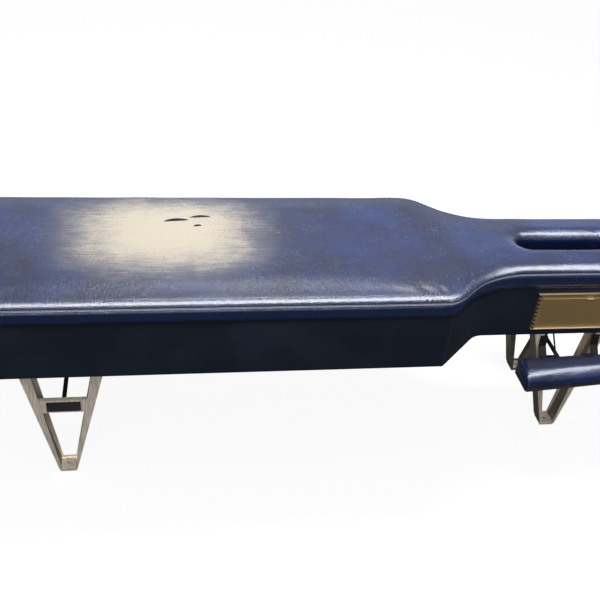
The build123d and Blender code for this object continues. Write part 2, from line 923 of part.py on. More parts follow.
with BuildPart() as hanger_bolts:
    for plane in hanger_bolt_planes(x_leg_head, y_front_head):
        with BuildSketch(plane):
            RegularPolygon(bolt_head_radius, 6)
        extrude(amount=bolt_head_height)
        with BuildSketch(plane):
            Circle(bolt_radius)
        extrude(amount=-hanger_thickness - leg_sheet - bolt_end_gap)
    mirror(about=Plane.XZ)
keep(hanger_bolts, "hanger_bolts")
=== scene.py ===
import logging
import math
from dataclasses import dataclass, field
from enum import Enum

import bpy
import numpy as np
from mathutils import Matrix, Vector, noise
from mathutils.bvhtree import BVHTree


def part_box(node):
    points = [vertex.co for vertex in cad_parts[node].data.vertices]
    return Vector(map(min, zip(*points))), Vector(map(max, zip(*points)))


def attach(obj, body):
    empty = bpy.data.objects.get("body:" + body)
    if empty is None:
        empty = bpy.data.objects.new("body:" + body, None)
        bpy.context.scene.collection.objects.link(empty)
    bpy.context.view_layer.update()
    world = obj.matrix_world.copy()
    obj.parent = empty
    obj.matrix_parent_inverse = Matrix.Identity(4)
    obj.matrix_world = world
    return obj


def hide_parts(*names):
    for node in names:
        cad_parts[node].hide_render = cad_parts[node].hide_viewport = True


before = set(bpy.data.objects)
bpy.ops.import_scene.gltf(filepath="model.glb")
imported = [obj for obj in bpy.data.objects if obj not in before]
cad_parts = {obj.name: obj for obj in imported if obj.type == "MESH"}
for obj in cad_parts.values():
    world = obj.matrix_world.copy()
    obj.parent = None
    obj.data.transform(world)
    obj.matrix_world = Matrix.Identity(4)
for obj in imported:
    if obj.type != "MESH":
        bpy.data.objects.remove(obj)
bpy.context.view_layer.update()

log = logging.getLogger("treatment_table")

Colour = tuple[float, float, float]
Points = np.ndarray

SEAM_HEIGHT = 0.5515


def srgb(red: int, green: int, blue: int) -> Colour:
    """Turn an 8-bit display colour into the linear one that a shader takes.

    Args:
        red: Red, from 0 to 255.
        green: Green, from 0 to 255.
        blue: Blue, from 0 to 255.

    Returns:
        The linear colour.
    """
    shares = [value / 255 for value in (red, green, blue)]
    return tuple(s / 12.92 if s <= 0.04045 else ((s + 0.055) / 1.055) ** 2.4 for s in shares)


def add_node(
    tree: bpy.types.NodeTree, kind: str, settings: dict, values: dict
) -> bpy.types.Node:
    """Add one node, set it up and fill its sockets.

    Args:
        tree: The node tree that it joins.
        kind: The node's type.
        settings: Its own settings by name, which come first.
        values: Numbers, colours or links by socket name or number.

    Returns:
        The node.
    """
    made = tree.nodes.new(kind)
    for key, value in settings.items():
        setattr(made, key, value)
    for key, value in values.items():
        target = made.inputs[key]
        if isinstance(value, Socket):
            value = value.source
        if isinstance(value, bpy.types.NodeSocket):
            tree.links.new(value, target)
        elif value is not None:
            target.default_value = value
    return made


class Socket:
    """A number on its way through a material, which Python operators work on."""

    def __init__(self, paint: "Paint", source: bpy.types.NodeSocket | float) -> None:
        """Keep the material and the node output or number that stands for the value."""
        self.paint = paint
        self.source = source

    def _math(self, operation: str, *others: "Socket | float") -> "Socket":
        """Add one Math node.

        Args:
            operation: The Math node's operation.
            others: The operands after this one.

        Returns:
            The node's result.
        """
        values = {0: self.source}
        for place, other in enumerate(others, start=1):
            values[place] = other.source if isinstance(other, Socket) else other
        made = self.paint.node("ShaderNodeMath", {"operation": operation}, values)
        return Socket(self.paint, made.outputs[0])

    def __add__(self, other: "Socket | float") -> "Socket":
        """Sum."""
        return self._math("ADD", other)

    __radd__ = __add__

    def __sub__(self, other: "Socket | float") -> "Socket":
        """Difference."""
        return self._math("SUBTRACT", other)

    def __rsub__(self, other: float) -> "Socket":
        """Difference with the number first."""
        return Socket(self.paint, other)._math("SUBTRACT", self)

    def __mul__(self, other: "Socket | float") -> "Socket":
        """Product."""
        return self._math("MULTIPLY", other)

    __rmul__ = __mul__

    def __truediv__(self, other: "Socket | float") -> "Socket":
        """Quotient."""
        return self._math("DIVIDE", other)

    def __pow__(self, power: float) -> "Socket":
        """Power."""
        return self._math("POWER", power)

    def __abs__(self) -> "Socket":
        """Size without sign."""
        return self._math("ABSOLUTE")

    def most(self, other: "Socket | float") -> "Socket":
        """The larger of two values."""
        return self._math("MAXIMUM", other)

    def away(self, other: "Socket", spot: tuple[float, float]) -> "Socket":
        """Distance from a spot, where this value and the other are two coordinates."""
        return ((self - spot[0]) ** 2.0 + (other - spot[1]) ** 2.0) ** 0.5

    def step(self, low: float, high: float) -> "Socket":
        """Rise smoothly from 0 at low to 1 at high.

        Args:
            low: The value that gives 0.
            high: The value that gives 1. It may be the smaller of the two.

        Returns:
            The smooth step.
        """
        span = {"data_type": "FLOAT", "interpolation_type": "SMOOTHSTEP", "clamp": True}
        if low <= high:
            values = {"Value": self.source, "From Min": low, "From Max": high}
            made = self.paint.node("ShaderNodeMapRange", span, values)
            return Socket(self.paint, made.outputs[0])
        values = {"Value": self.source, "From Min": high, "From Max": low}
        made = self.paint.node("ShaderNodeMapRange", span, values)
        return 1 - Socket(self.paint, made.outputs[0])


class Paint:
    """A node material under construction, with its shader and its pattern coordinates."""

    def __init__(self, name: str) -> None:
        """Make an empty material with one surface shader.

        Args:
            name: The material's name.
        """
        self.material = bpy.data.materials.new(name)
        self.material.use_nodes = True
        self.tree = self.material.node_tree
        self.tree.nodes.clear()
        self.shader = self.node("ShaderNodeBsdfPrincipled", {}, {})
        output = self.node("ShaderNodeOutputMaterial", {}, {})
        self.tree.links.new(self.shader.outputs["BSDF"], output.inputs["Surface"])
        self.coords = self.node("ShaderNodeTexCoord", {}, {}).outputs["Object"]
        split = self.node("ShaderNodeSeparateXYZ", {}, {0: self.coords})
        self.x, self.y, self.z = (Socket(self, out) for out in split.outputs)

    def node(self, kind: str, settings: dict, values: dict) -> bpy.types.Node:
        """Add one node to this material.

        Args:
            kind: The node's type.
            settings: Its own settings by name.
            values: Numbers, colours or links by socket name or number.

        Returns:
            The node.
        """
        return add_node(self.tree, kind, settings, values)

    def stretched(self, scale: Colour, turn: float = 0.0) -> bpy.types.NodeSocket:
        """Pattern coordinates scaled along each axis and turned about the vertical.

        Args:
            scale: How much the pattern is packed along X, Y and Z.
            turn: Turn about Z in degrees.

        Returns:
            The coordinates.
        """
        values = {
            "Vector": self.coords,
            "Scale": scale,
            "Rotation": (0, 0, math.radians(turn)),
        }
        return self.node("ShaderNodeMapping", {}, values).outputs[0]

    def noise(
        self,
        scale: float,
        detail: float = 3.0,
        coords: bpy.types.NodeSocket | None = None,
        distortion: float = 0.0,
    ) -> Socket:
        """Cloudy noise from about 0.25 to 0.75.

        Args:
            scale: Features for each metre of the coordinates.
            detail: Octaves.
            coords: Pattern coordinates, the object's own if left out.
            distortion: How much the pattern is pulled about.

        Returns:
            The noise.
        """
        values = {
            "Vector": coords or self.coords,
            "Scale": scale,
            "Detail": detail,
            "Distortion": distortion,
        }
        return Socket(self, self.node("ShaderNodeTexNoise", {}, values).outputs[0])

    def cells(
        self,
        scale: float,
        feature: str = "F1",
        coords: bpy.types.NodeSocket | None = None,
    ) -> Socket:
        """Distance in a pattern of cells.

        Args:
            scale: Cells for each metre of the coordinates.
            feature: F1 for the distance to a cell's point, DISTANCE_TO_EDGE for its edge.
            coords: Pattern coordinates, the object's own if left out.

        Returns:
            The distance.
        """
        values = {"Vector": coords or self.coords, "Scale": scale}
        made = self.node("ShaderNodeTexVoronoi", {"feature": feature}, values)
        return Socket(self, made.outputs["Distance"])

    def mix(
        self,
        share: Socket | float,
        first: Colour | bpy.types.NodeSocket,
        second: Colour | bpy.types.NodeSocket,
    ) -> bpy.types.NodeSocket:
        """Mix two colours.

        Args:
            share: How much of the second one shows.
            first: The colour at 0.
            second: The colour at 1.

        Returns:
            The mixed colour.
        """
        fills = [(*c, 1.0) if isinstance(c, tuple) else c for c in (first, second)]
        values = {0: share, 6: fills[0], 7: fills[1]}
        settings = {"data_type": "RGBA", "clamp_factor": True}
        return self.node("ShaderNodeMix", settings, values).outputs[2]

    def facing(self) -> tuple[Socket, Socket, Socket]:
        """The parts of the surface's own direction along X, Y and Z."""
        normal = self.node("ShaderNodeNewGeometry", {}, {}).outputs["Normal"]
        split = self.node("ShaderNodeSeparateXYZ", {}, {0: normal})
        return tuple(Socket(self, out) for out in split.outputs)

    def bump(self, *layers: tuple[Socket, float]) -> None:
        """Raise the surface by several height patterns.

        Args:
            layers: Each pattern with its height in metres.
        """
        normal = None
        for height, depth in layers:
            values = {"Height": height, "Distance": depth, "Strength": 1.0, "Normal": normal}
            normal = self.node("ShaderNodeBump", {}, values).outputs[0]
        self.tree.links.new(normal, self.shader.inputs["Normal"])

    def surface(self, **values: "Socket | bpy.types.NodeSocket | float | Colour") -> None:
        """Fill the shader's sockets, whose names are given with _ for a space.

        Args:
            values: Numbers, colours or links by socket name.
        """
        for key, value in values.items():
            target = self.shader.inputs[key.replace("_", " ")]
            if isinstance(value, Socket):
                value = value.source
            if isinstance(value, bpy.types.NodeSocket):
                self.tree.links.new(value, target)
            elif isinstance(value, tuple) and len(value) == 3:
                target.default_value = (*value, 1.0)
            else:
                target.default_value = value


class Wear(Enum):
    """How much a vinyl cover has been used."""

    SEATED = "seated"
    LIGHT = "light"


@dataclass(frozen=True)
class CoverVinyl:
    """Glossy navy cover vinyl with a fine grain and hairline scratches, a pale seat patch that is
    partly wear and partly a painted highlight, and painted shade and painted highlight at the seam
    and under the boxing band.
    """

    wear: Wear = Wear.SEATED
    navy: Colour = srgb(10, 27, 68)
    bright: Colour = srgb(23, 48, 102)
    greyed: Colour = srgb(48, 56, 80)
    deep: Colour = srgb(15, 36, 80)
    # Painted shade colour for where the boxing band tucks under.
    under: Colour = srgb(3, 6, 14)
    scuffed: Colour = srgb(118, 128, 158)
    # Seat patch colours: partly wear and partly a painted highlight; the pale one is also used for
    # the real wear at the slot's end.
    worn_and_highlight: Colour = srgb(200, 190, 172)
    worn_edge_and_highlight: Colour = srgb(122, 120, 126)
    # Painted shade in the seam, and painted highlight on the edge just above it.
    groove_shade: Colour = srgb(4, 7, 16)
    edge_highlight: Colour = srgb(196, 204, 226)
    roughness: float = 0.23
    seam_height: float = SEAM_HEIGHT
    boxing_foot: float = 0.507
    # Place, size and fade of the pale seat patch, which is partly wear and partly a painted
    # highlight.
    patch_centre: tuple[float, float] = (-0.405, 0.045)
    patch_half: tuple[float, float] = (0.320, 0.250)
    patch_squareness: float = 2.8
    patch_fade: tuple[float, float] = (1.24, 0.24)
    slot_end: tuple[float, float] = (0.593, -0.010)
    slot_scuff: tuple[float, float] = (0.046, 0.014)
    slot_band: float = 0.075
    slot_from: float = 0.54
    # Where the painted highlight line sits above the seam, and the widths of it and of the painted
    # seam shade.
    highlight_rise: float = 0.0032
    highlight_half: float = 0.0020
    groove_half: float = 0.0018
    scratched: tuple[tuple[float, float, float], ...] = (
        (-0.760, 0.040, 0.110), (-0.100, 0.040, 0.070), (0.350, -0.190, 0.080), (0.40, 0.05, 0.10),
    )

    def build(self, name: str) -> bpy.types.Material:
        """Make the material.

        Args:
            name: The material's name.

        Returns:
            The material.
        """
        paint = Paint(name)
        cloud = paint.noise(5.0, 4.0)
        haze = paint.noise(16.0, 5.0, distortion=0.6)
        colour = paint.mix(cloud.step(0.35, 0.68), self.navy, self.bright)
        strokes = paint.noise(1.0, 6.0, paint.stretched((260.0, 60.0, 60.0), 8.0), 0.5)
        strands = paint.noise(1.0, 5.0, paint.stretched((80.0, 420.0, 90.0), -24.0), 1.2)
        streaks = paint.noise(1.0, 5.0, paint.stretched((14.0, 190.0, 40.0), 2.0), 0.3)
        fibres = strokes.step(0.50, 0.74).most(strands.step(0.54, 0.76))
        used = haze.step(0.40, 0.70)
        scratch = fibres * (0.03 + 0.20 * used)
        rough = 0.05 * cloud + self.roughness + scratch * 0.18
        seated = self.wear is Wear.SEATED
        if seated:
            reach = self._reach(paint, haze)
            spread = reach.step(1.75, 0.75) * paint.z.step(0.552, 0.572)
            colour = paint.mix(spread * (0.35 + 0.4 * used), colour, self.greyed)
            scratch = scratch.most(self._scratches(paint, strands))
        colour = paint.mix(scratch, colour, self.scuffed)
        # The seated cover only: the seat patch, partly wear and partly painted highlight, and the
        # boxing band with its painted shade and painted highlight at the seam.
        if seated:
            colour = self._worn_and_highlight(paint, colour, reach, fibres, streaks)
            colour = self._boxed(paint, colour)
        grain = paint.cells(520.0)
        paint.surface(
            Base_Color=colour,
            Roughness=rough,
            Specular_IOR_Level=0.32,
            Coat_Weight=0.10,
            Coat_Roughness=0.16,
        )
        paint.bump((grain, 0.0001), (strokes, 0.0008), (strands, 0.0006), (haze, 0.0014))
        return paint.material

    def _reach(self, paint: Paint, haze: Socket) -> Socket:
        """How far a point is from the middle of the seat, 1 at the patch's edge.

        Args:
            paint: The material.
            haze: Cloudy noise that makes the edge uneven.

        Returns:
            The distance.
        """
        along = abs((paint.x - self.patch_centre[0]) / self.patch_half[0])
        across = abs((paint.y - self.patch_centre[1]) / self.patch_half[1])
        power = self.patch_squareness
        return (along ** power + across ** power) ** (1 / power) + (haze - 0.5) * 0.30

    def _worn_and_highlight(
        self, paint: Paint, colour: bpy.types.NodeSocket, reach: Socket, fibres: Socket,
        streaks: Socket,
    ) -> bpy.types.NodeSocket:
        """Pale the seat, partly as wear through to pale backing and partly as a painted highlight,
        and wear the slot's end through to pale backing.

        Args:
            paint: The material.
            colour: The colour so far.
            reach: Distance from the middle of the seat.
            fibres: Fine scratches.
            streaks: Long marks along the table.

        Returns:
            The colour.
        """
        on_top = paint.z.step(self.seam_height + 0.010, self.seam_height + 0.022)
        broken = 0.10 * streaks.step(0.62, 0.36) + 0.14 * fibres
        patch = (reach + broken * 0.6).step(*self.patch_fade) * on_top
        # Painted highlight mixed with wear: the seat patch pales to grey at its edge and to cream in
        # its middle.
        colour = paint.mix(patch.step(0.0, 0.60), colour, self.worn_edge_and_highlight)
        colour = paint.mix((patch - broken * 0.6).step(0.28, 1.0), colour, self.worn_and_highlight)
        flecks = paint.noise(210.0, 5.0, distortion=1.5)
        rubbed = paint.x.away(paint.y, self.slot_end).step(*self.slot_scuff)
        return paint.mix(rubbed * flecks.step(0.54, 0.62) * 0.75, colour, self.worn_and_highlight)

    def _scratches(self, paint: Paint, strands: Socket) -> Socket:
        """Patches of crossing scratches.

        Args:
            paint: The material.
            strands: Fine scratches that break the lines up.

        Returns:
            The scratches, 1 where the surface is white.
        """
        lines = paint.cells(46.0, "DISTANCE_TO_EDGE", paint.stretched((1.0, 0.55, 1.0), 20.0))
        lines = lines.step(0.035, 0.0) * strands.step(0.44, 0.60)
        where = None
        for x, y, size in self.scratched:
            spot = paint.x.away(paint.y, (x, y)).step(size, size * 0.4)
            where = spot if where is None else where.most(spot)
        return lines * where * 0.6

    def _boxed(self, paint: Paint, colour: bpy.types.NodeSocket) -> bpy.types.NodeSocket:
        """Colour the boxing band with painted shade where it tucks under, a painted dark shade line
        along the seam and a painted highlight along the edge just above it.

        Args:
            paint: The material.
            colour: The colour so far.

        Returns:
            The colour.
        """
        seam = self.seam_height
        below = paint.z.step(seam + 0.0006, seam - 0.0006)
        colour = paint.mix(below * 0.92, colour, self.deep)
        # Painted shade: the boxing band darkens to near-black towards its foot, where it turns under.
        tucked = paint.z.step(self.boxing_foot + 0.020, self.boxing_foot + 0.001)
        colour = paint.mix(tucked, colour, self.under)
        beside_slot = (abs(paint.y) - self.slot_band).step(0.0, 0.002)
        outside = beside_slot.most(paint.x.step(self.slot_from + 0.01, self.slot_from))
        # Painted highlight: a pale line just above the seam, kept out of the face slot.
        line = abs(paint.z - seam - self.highlight_rise).step(self.highlight_half, self.highlight_half / 2) * outside
        colour = paint.mix(line * 0.9, colour, self.edge_highlight)
        # Painted shade: a dark line along the seam.
        groove_shade = abs(paint.z - seam).step(self.groove_half, self.groove_half / 2) * outside
        return paint.mix(groove_shade * 0.92, colour, self.groove_shade)


@dataclass(frozen=True)
class PanelVinyl:
    """Near-black navy vinyl stretched over the body's boards, with a painted highlight down the
    rounded shoulder corners.
    """

    dark: Colour = srgb(27, 33, 46)
    light: Colour = srgb(35, 43, 58)
    scuff: Colour = srgb(62, 68, 82)
    # Painted highlight colour for the shoulder corners.
    corner: Colour = srgb(84, 94, 116)

    def build(self, name: str) -> bpy.types.Material:
        """Make the material.

        Args:
            name: The material's name.

        Returns:
            The material.
        """
        paint = Paint(name)
        cloud = paint.noise(4.0, 4.0)
        colour = paint.mix(cloud.step(0.38, 0.66), self.dark, self.light)
        rubbed = paint.noise(1.0, 5.0, paint.stretched((34.0, 34.0, 210.0)), 0.8)
        colour = paint.mix(rubbed.step(0.60, 0.74) * 0.18, colour, self.scuff)
        # Painted highlight: lighter where the wrap turns round the shoulder corners.
        turned = paint.facing()[0]
        ridge = turned.step(0.12, 0.34) * turned.step(0.66, 0.46) * paint.x.step(0.36, 0.35)
        colour = paint.mix(ridge * 0.35, colour, self.corner)
        grain = paint.cells(480.0)
        paint.surface(Base_Color=colour, Roughness=0.45 + 0.12 * cloud, Specular_IOR_Level=0.07)
        paint.bump((grain, 0.0001), (rubbed, 0.0004))
        return paint.material


@dataclass(frozen=True)
class BrushedLeg:
    """Warm grey brushed steel with stain blotches, painted shade on its sideways faces and darker
    painted shade on faces that turn towards the table's middle.
    """

    face: Colour = srgb(240, 230, 216)
    shade: Colour = srgb(208, 194, 176)
    # Colour for the stains and for the painted shade on sideways faces; the next one is painted shade
    # on faces that turn inwards.
    stain_and_shade: Colour = srgb(78, 66, 55)
    inner: Colour = srgb(26, 21, 17)
    roughness: float = 0.34

    def build(self, name: str) -> bpy.types.Material:
        """Make the material.

        Args:
            name: The material's name.

        Returns:
            The material.
        """
        paint = Paint(name)
        brushed = paint.noise(1.0, 4.0, paint.stretched((420.0, 60.0, 26.0)))
        blotch = paint.noise(30.0, 5.0, distortion=0.8)
        colour = paint.mix(brushed.step(0.35, 0.66), self.shade, self.face)
        # Painted shade on faces that turn sideways, mixed with real stain blotches.
        sideways = abs(paint.facing()[0])
        folded = sideways.step(0.45, 0.85)
        stained = blotch.step(0.60, 0.78) * 0.35
        colour = paint.mix((folded * 0.86).most(stained), colour, self.stain_and_shade)
        # Painted shade: faces that turn towards the table's middle go near-black.
        inward_shade = paint.facing()[1] * (paint.y.step(0.01, -0.01) * 2 - 1)
        colour = paint.mix(inward_shade.step(0.4, 0.8) * 0.8, colour, self.inner)
        paint.surface(
            Base_Color=colour,
            Metallic=0.30,
            Roughness=self.roughness + 0.18 * brushed + 0.2 * stained,
        )
        paint.bump((brushed, 0.00015), (blotch, 0.0003))
        return paint.material


@dataclass(frozen=True)
class PlainPaint:
    """A painted, moulded or bare sheet finish with clouding, rubbed spots and fine grain."""

    base: Colour
    rubbed: Colour
    roughness: float = 0.45
    metallic: float = 0.0
    specular: float = 0.4
    grain: float = 0.00008
    grain_scale: float = 700.0
    wear: float = 0.3

    def build(self, name: str) -> bpy.types.Material:
        """Make the material.

        Args:
            name: The material's name.

        Returns:
            The material.
        """
        paint = Paint(name)
        cloud = paint.noise(14.0, 4.0)
        spots = paint.noise(90.0, 5.0, distortion=0.7)
        colour = paint.mix(cloud.step(0.3, 0.75) * 0.35, self.base, self.rubbed)
        colour = paint.mix(spots.step(0.58, 0.72) * self.wear, colour, self.rubbed)
        fine = paint.noise(self.grain_scale, 2.0)
        paint.surface(
            Base_Color=colour,
            Metallic=self.metallic,
            Roughness=self.roughness + 0.12 * spots,
            Specular_IOR_Level=self.specular,
        )
        paint.bump((fine, self.grain), (spots, 0.0002))
        return paint.material


@dataclass(frozen=True)
class BronzeSheet:
    """Olive bronze sheet with a painted highlight on the faces of its lips that face up."""

    field: Colour = srgb(128, 107, 69)
    warm: Colour = srgb(138, 112, 68)
    # Painted highlight colour for faces that face up.
    lip_highlight: Colour = srgb(212, 190, 164)

    def build(self, name: str) -> bpy.types.Material:
        """Make the material.

        Args:
            name: The material's name.

        Returns:
            The material.
        """
        paint = Paint(name)
        cloud = paint.noise(7.0, 4.0)
        colour = paint.mix(cloud.step(0.36, 0.66), self.field, self.warm)
        # Painted highlight: faces that face up turn pale, broken up by noise.
        upward_highlight = paint.facing()[2].step(0.6, 0.9)
        rubbed = paint.noise(60.0, 4.0, distortion=0.5)
        colour = paint.mix(upward_highlight * (0.72 + 0.4 * rubbed), colour, self.lip_highlight)
        brushed = paint.noise(1.0, 3.0, paint.stretched((30.0, 300.0, 500.0)))
        paint.surface(
            Base_Color=colour,
            Metallic=0.35,
            Roughness=0.42 + 0.12 * brushed,
            Specular_IOR_Level=0.3,
        )
        paint.bump((brushed, 0.00006),)
        return paint.material


@dataclass(frozen=True)
class BoardWood:
    """Plain plywood under the upholstery."""

    pale: Colour = srgb(188, 152, 108)
    dark: Colour = srgb(140, 104, 66)

    def build(self, name: str) -> bpy.types.Material:
        """Make the material.

        Args:
            name: The material's name.

        Returns:
            The material.
        """
        paint = Paint(name)
        grain = paint.noise(1.0, 6.0, paint.stretched((5.0, 70.0, 160.0)), 0.9)
        pores = paint.noise(1.0, 3.0, paint.stretched((60.0, 900.0, 900.0)))
        colour = paint.mix(grain.step(0.34, 0.66), self.pale, self.dark)
        colour = paint.mix(pores.step(0.58, 0.70) * 0.4, colour, self.dark)
        paint.surface(Base_Color=colour, Roughness=0.62 + 0.2 * pores, Specular_IOR_Level=0.3)
        paint.bump((grain, 0.0002), (pores, 0.0001))
        return paint.material


@dataclass(frozen=True)
class Thread:
    """Pale waxed sewing thread, twisted along its length."""

    base: Colour = srgb(126, 140, 172)
    shade: Colour = srgb(70, 84, 122)

    def build(self, name: str) -> bpy.types.Material:
        """Make the material.

        Args:
            name: The material's name.

        Returns:
            The material.
        """
        paint = Paint(name)
        twist = paint.noise(1.0, 3.0, paint.stretched((1600.0, 1600.0, 900.0), 30.0))
        colour = paint.mix(twist.step(0.4, 0.62), self.shade, self.base)
        paint.surface(Base_Color=colour, Roughness=0.4 + 0.2 * twist)
        paint.bump((twist, 0.0001),)
        return paint.material


class Bench:
    """Modelling steps that several pieces share."""

    @staticmethod
    def clear() -> None:
        """Leave edit mode and select nothing."""
        if bpy.context.object and bpy.context.object.mode != "OBJECT":
            bpy.ops.object.mode_set(mode="OBJECT")
        bpy.ops.object.select_all(action="DESELECT")

    @staticmethod
    def only(piece: bpy.types.Object) -> None:
        """Select one piece and make it the active one."""
        Bench.clear()
        piece.select_set(True)
        bpy.context.view_layer.objects.active = piece

    @staticmethod
    def merged_copy(node: str, name: str) -> bpy.types.Object:
        """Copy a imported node's mesh and merge its loose triangles.

        Args:
            node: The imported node.
            name: The new piece's name.

        Returns:
            The new piece, at the origin.
        """
        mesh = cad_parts[node].data.copy()
        mesh.materials.clear()
        piece = bpy.data.objects.new(name, mesh)
        bpy.context.scene.collection.objects.link(piece)
        Bench.only(piece)
        bpy.ops.object.mode_set(mode="EDIT")
        bpy.ops.mesh.select_all(action="SELECT")
        bpy.ops.mesh.remove_doubles(threshold=0.00001)
        bpy.ops.mesh.customdata_custom_splitnormals_clear()
        bpy.ops.object.mode_set(mode="OBJECT")
        return piece

    @staticmethod
    def apply(piece: bpy.types.Object, kind: str, **settings: object) -> None:
        """Add one modifier, set it and apply it.

        Args:
            piece: The piece.
            kind: The modifier's type.
            settings: Its settings by name.
        """
        Bench.only(piece)
        made = piece.modifiers.new(kind.lower(), kind)
        for key, value in settings.items():
            setattr(made, key, value)
        bpy.ops.object.modifier_apply(modifier=made.name)

    @staticmethod
    def remesh(piece: bpy.types.Object, voxel: float) -> None:
        """Give a piece an even skin of squares.

        Args:
            piece: The piece.
            voxel: Size of a square in metres.
        """
        Bench.apply(piece, "REMESH", mode="VOXEL", voxel_size=voxel, use_smooth_shade=True)

    @staticmethod
    def points(piece: bpy.types.Object) -> Points:
        """The places of a piece's vertices."""
        flat = np.zeros(len(piece.data.vertices) * 3)
        piece.data.vertices.foreach_get("co", flat)
        return flat.reshape(-1, 3)

    @staticmethod
    def directions(piece: bpy.types.Object) -> Points:
        """The outward directions at a piece's vertices."""
        flat = np.zeros(len(piece.data.vertices) * 3, np.float32)
        piece.data.vertex_normals.foreach_get("vector", flat)
        return flat.reshape(-1, 3).astype(float)

    @staticmethod
    def move(piece: bpy.types.Object, places: Points) -> None:
        """Put a piece's vertices in new places."""
        piece.data.vertices.foreach_set("co", np.asarray(places, np.float32).ravel())
        piece.data.update()

    @staticmethod
    def swell(piece: bpy.types.Object, held: Points, pressure: float, cap: float) -> None:
        """Blow a cover up a little with a cloth simulation.

        Args:
            piece: The piece, with an even mesh.
            held: For each vertex, whether it is sewn down.
            pressure: Air pressure inside.
            cap: How far a point may move, in metres.
        """
        Bench.only(piece)
        start = Bench.points(piece)
        group = piece.vertex_groups.new(name="sewn")
        group.add([int(i) for i in np.nonzero(held)[0]], 1.0, "REPLACE")
        cloth = piece.modifiers.new("cloth", "CLOTH")
        cloth.settings.vertex_group_mass = "sewn"
        cloth.settings.use_pressure = True
        cloth.settings.uniform_pressure_force = pressure
        cloth.settings.quality = 4
        cloth.settings.tension_stiffness = 25
        cloth.settings.compression_stiffness = 25
        cloth.settings.bending_stiffness = 2.0
        cloth.settings.effector_weights.gravity = 0
        cloth.collision_settings.use_collision = False
        scene = bpy.context.scene
        for step in range(1, 21):
            scene.frame_set(step)
        shaped = piece.evaluated_get(bpy.context.evaluated_depsgraph_get())
        ends = np.zeros(len(shaped.data.vertices) * 3)
        shaped.data.vertices.foreach_get("co", ends)
        scene.frame_set(1)
        piece.modifiers.remove(cloth)
        piece.vertex_groups.clear()
        way = ends.reshape(-1, 3) - start
        size = np.linalg.norm(way, axis=1, keepdims=True)
        way *= np.minimum(1.0, cap / np.maximum(size, 1e-9))
        Bench.move(piece, start + way)

    @staticmethod
    def sheen(piece: bpy.types.Object, angle: float = 40.0) -> None:
        """Shade a piece smoothly, with its folds left sharp.

        Args:
            piece: The piece.
            angle: Edges sharper than this, in degrees, stay sharp.
        """
        Bench.only(piece)
        bpy.ops.object.shade_smooth_by_angle(angle=math.radians(angle))

    @staticmethod
    def tube(name: str, path: Points, radius: float, closed: bool) -> bpy.types.Object:
        """A round welt along a path.

        Args:
            name: The piece's name.
            path: The points that it follows.
            radius: Its radius in metres.
            closed: Whether it joins up with itself.

        Returns:
            The piece, as a mesh.
        """
        curve = bpy.data.curves.new(name, "CURVE")
        curve.dimensions = "3D"
        curve.bevel_depth = radius
        curve.bevel_resolution = 2
        curve.use_fill_caps = not closed
        line = curve.splines.new("POLY")
        line.points.add(len(path) - 1)
        line.points.foreach_set("co", np.c_[path, np.ones(len(path))].ravel())
        line.use_cyclic_u = closed
        piece = bpy.data.objects.new(name, curve)
        bpy.context.scene.collection.objects.link(piece)
        Bench.only(piece)
        bpy.ops.object.convert(target="MESH")
        piece = bpy.context.object
        bpy.ops.object.mode_set(mode="EDIT")
        bpy.ops.mesh.select_all(action="SELECT")
        bpy.ops.mesh.remove_doubles(threshold=0.000001)
        bpy.ops.mesh.normals_make_consistent(inside=False)
        bpy.ops.object.mode_set(mode="OBJECT")
        Bench.sheen(piece, 60.0)
        return piece

    @staticmethod
    def copies(
        name: str, pattern: bpy.types.Object, places: list[Matrix]
    ) -> bpy.types.Object:
        """Repeat one small piece at several places, as one mesh.

        Args:
            name: The new piece's name.
            pattern: The small piece, which is removed.
            places: Where each copy goes.

        Returns:
            The new piece.
        """
        small = Bench.points(pattern)
        faces = [tuple(face.vertices) for face in pattern.data.polygons]
        corners = []
        sides = []
        for number, place in enumerate(places):
            turn = np.array(place)
            corners.append(small @ turn[:3, :3].T + turn[:3, 3])
            sides += [tuple(v + number * len(small) for v in face) for face in faces]
        mesh = bpy.data.meshes.new(name)
        mesh.from_pydata(np.concatenate(corners).tolist(), [], sides)
        mesh.update()
        bpy.data.objects.remove(pattern)
        piece = bpy.data.objects.new(name, mesh)
        bpy.context.scene.collection.objects.link(piece)
        Bench.sheen(piece, 60.0)
        return piece

    @staticmethod
    def dress(
        piece: bpy.types.Object, material: bpy.types.Material, slot: str, body: str = "root"
    ) -> None:
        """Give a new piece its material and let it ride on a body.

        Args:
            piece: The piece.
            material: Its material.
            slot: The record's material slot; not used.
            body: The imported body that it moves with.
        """
        piece.data.materials.clear()
        piece.data.materials.append(material)
        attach(piece, body)
        log.info("%s rides on %s, %d faces", piece.name, body, len(piece.data.polygons))


class Skin:
    """The surface of a finished piece, which thread and welts are laid on."""

    def __init__(self, piece: bpy.types.Object) -> None:
        """Read the piece's surface."""
        corners = Bench.points(piece)
        faces = [tuple(face.vertices) for face in piece.data.polygons]
        self.tree = BVHTree.FromPolygons(corners.tolist(), faces)

    def seat(self, start: Vector, way: Vector) -> tuple[Vector, Vector] | None:
        """Find where a line meets the surface.

        Args:
            start: Where the line starts.
            way: Its direction.

        Returns:
            The place and the surface's outward direction, or None where it misses.
        """
        place, out, _, _ = self.tree.ray_cast(start, way)
        return None if place is None else (place, out)


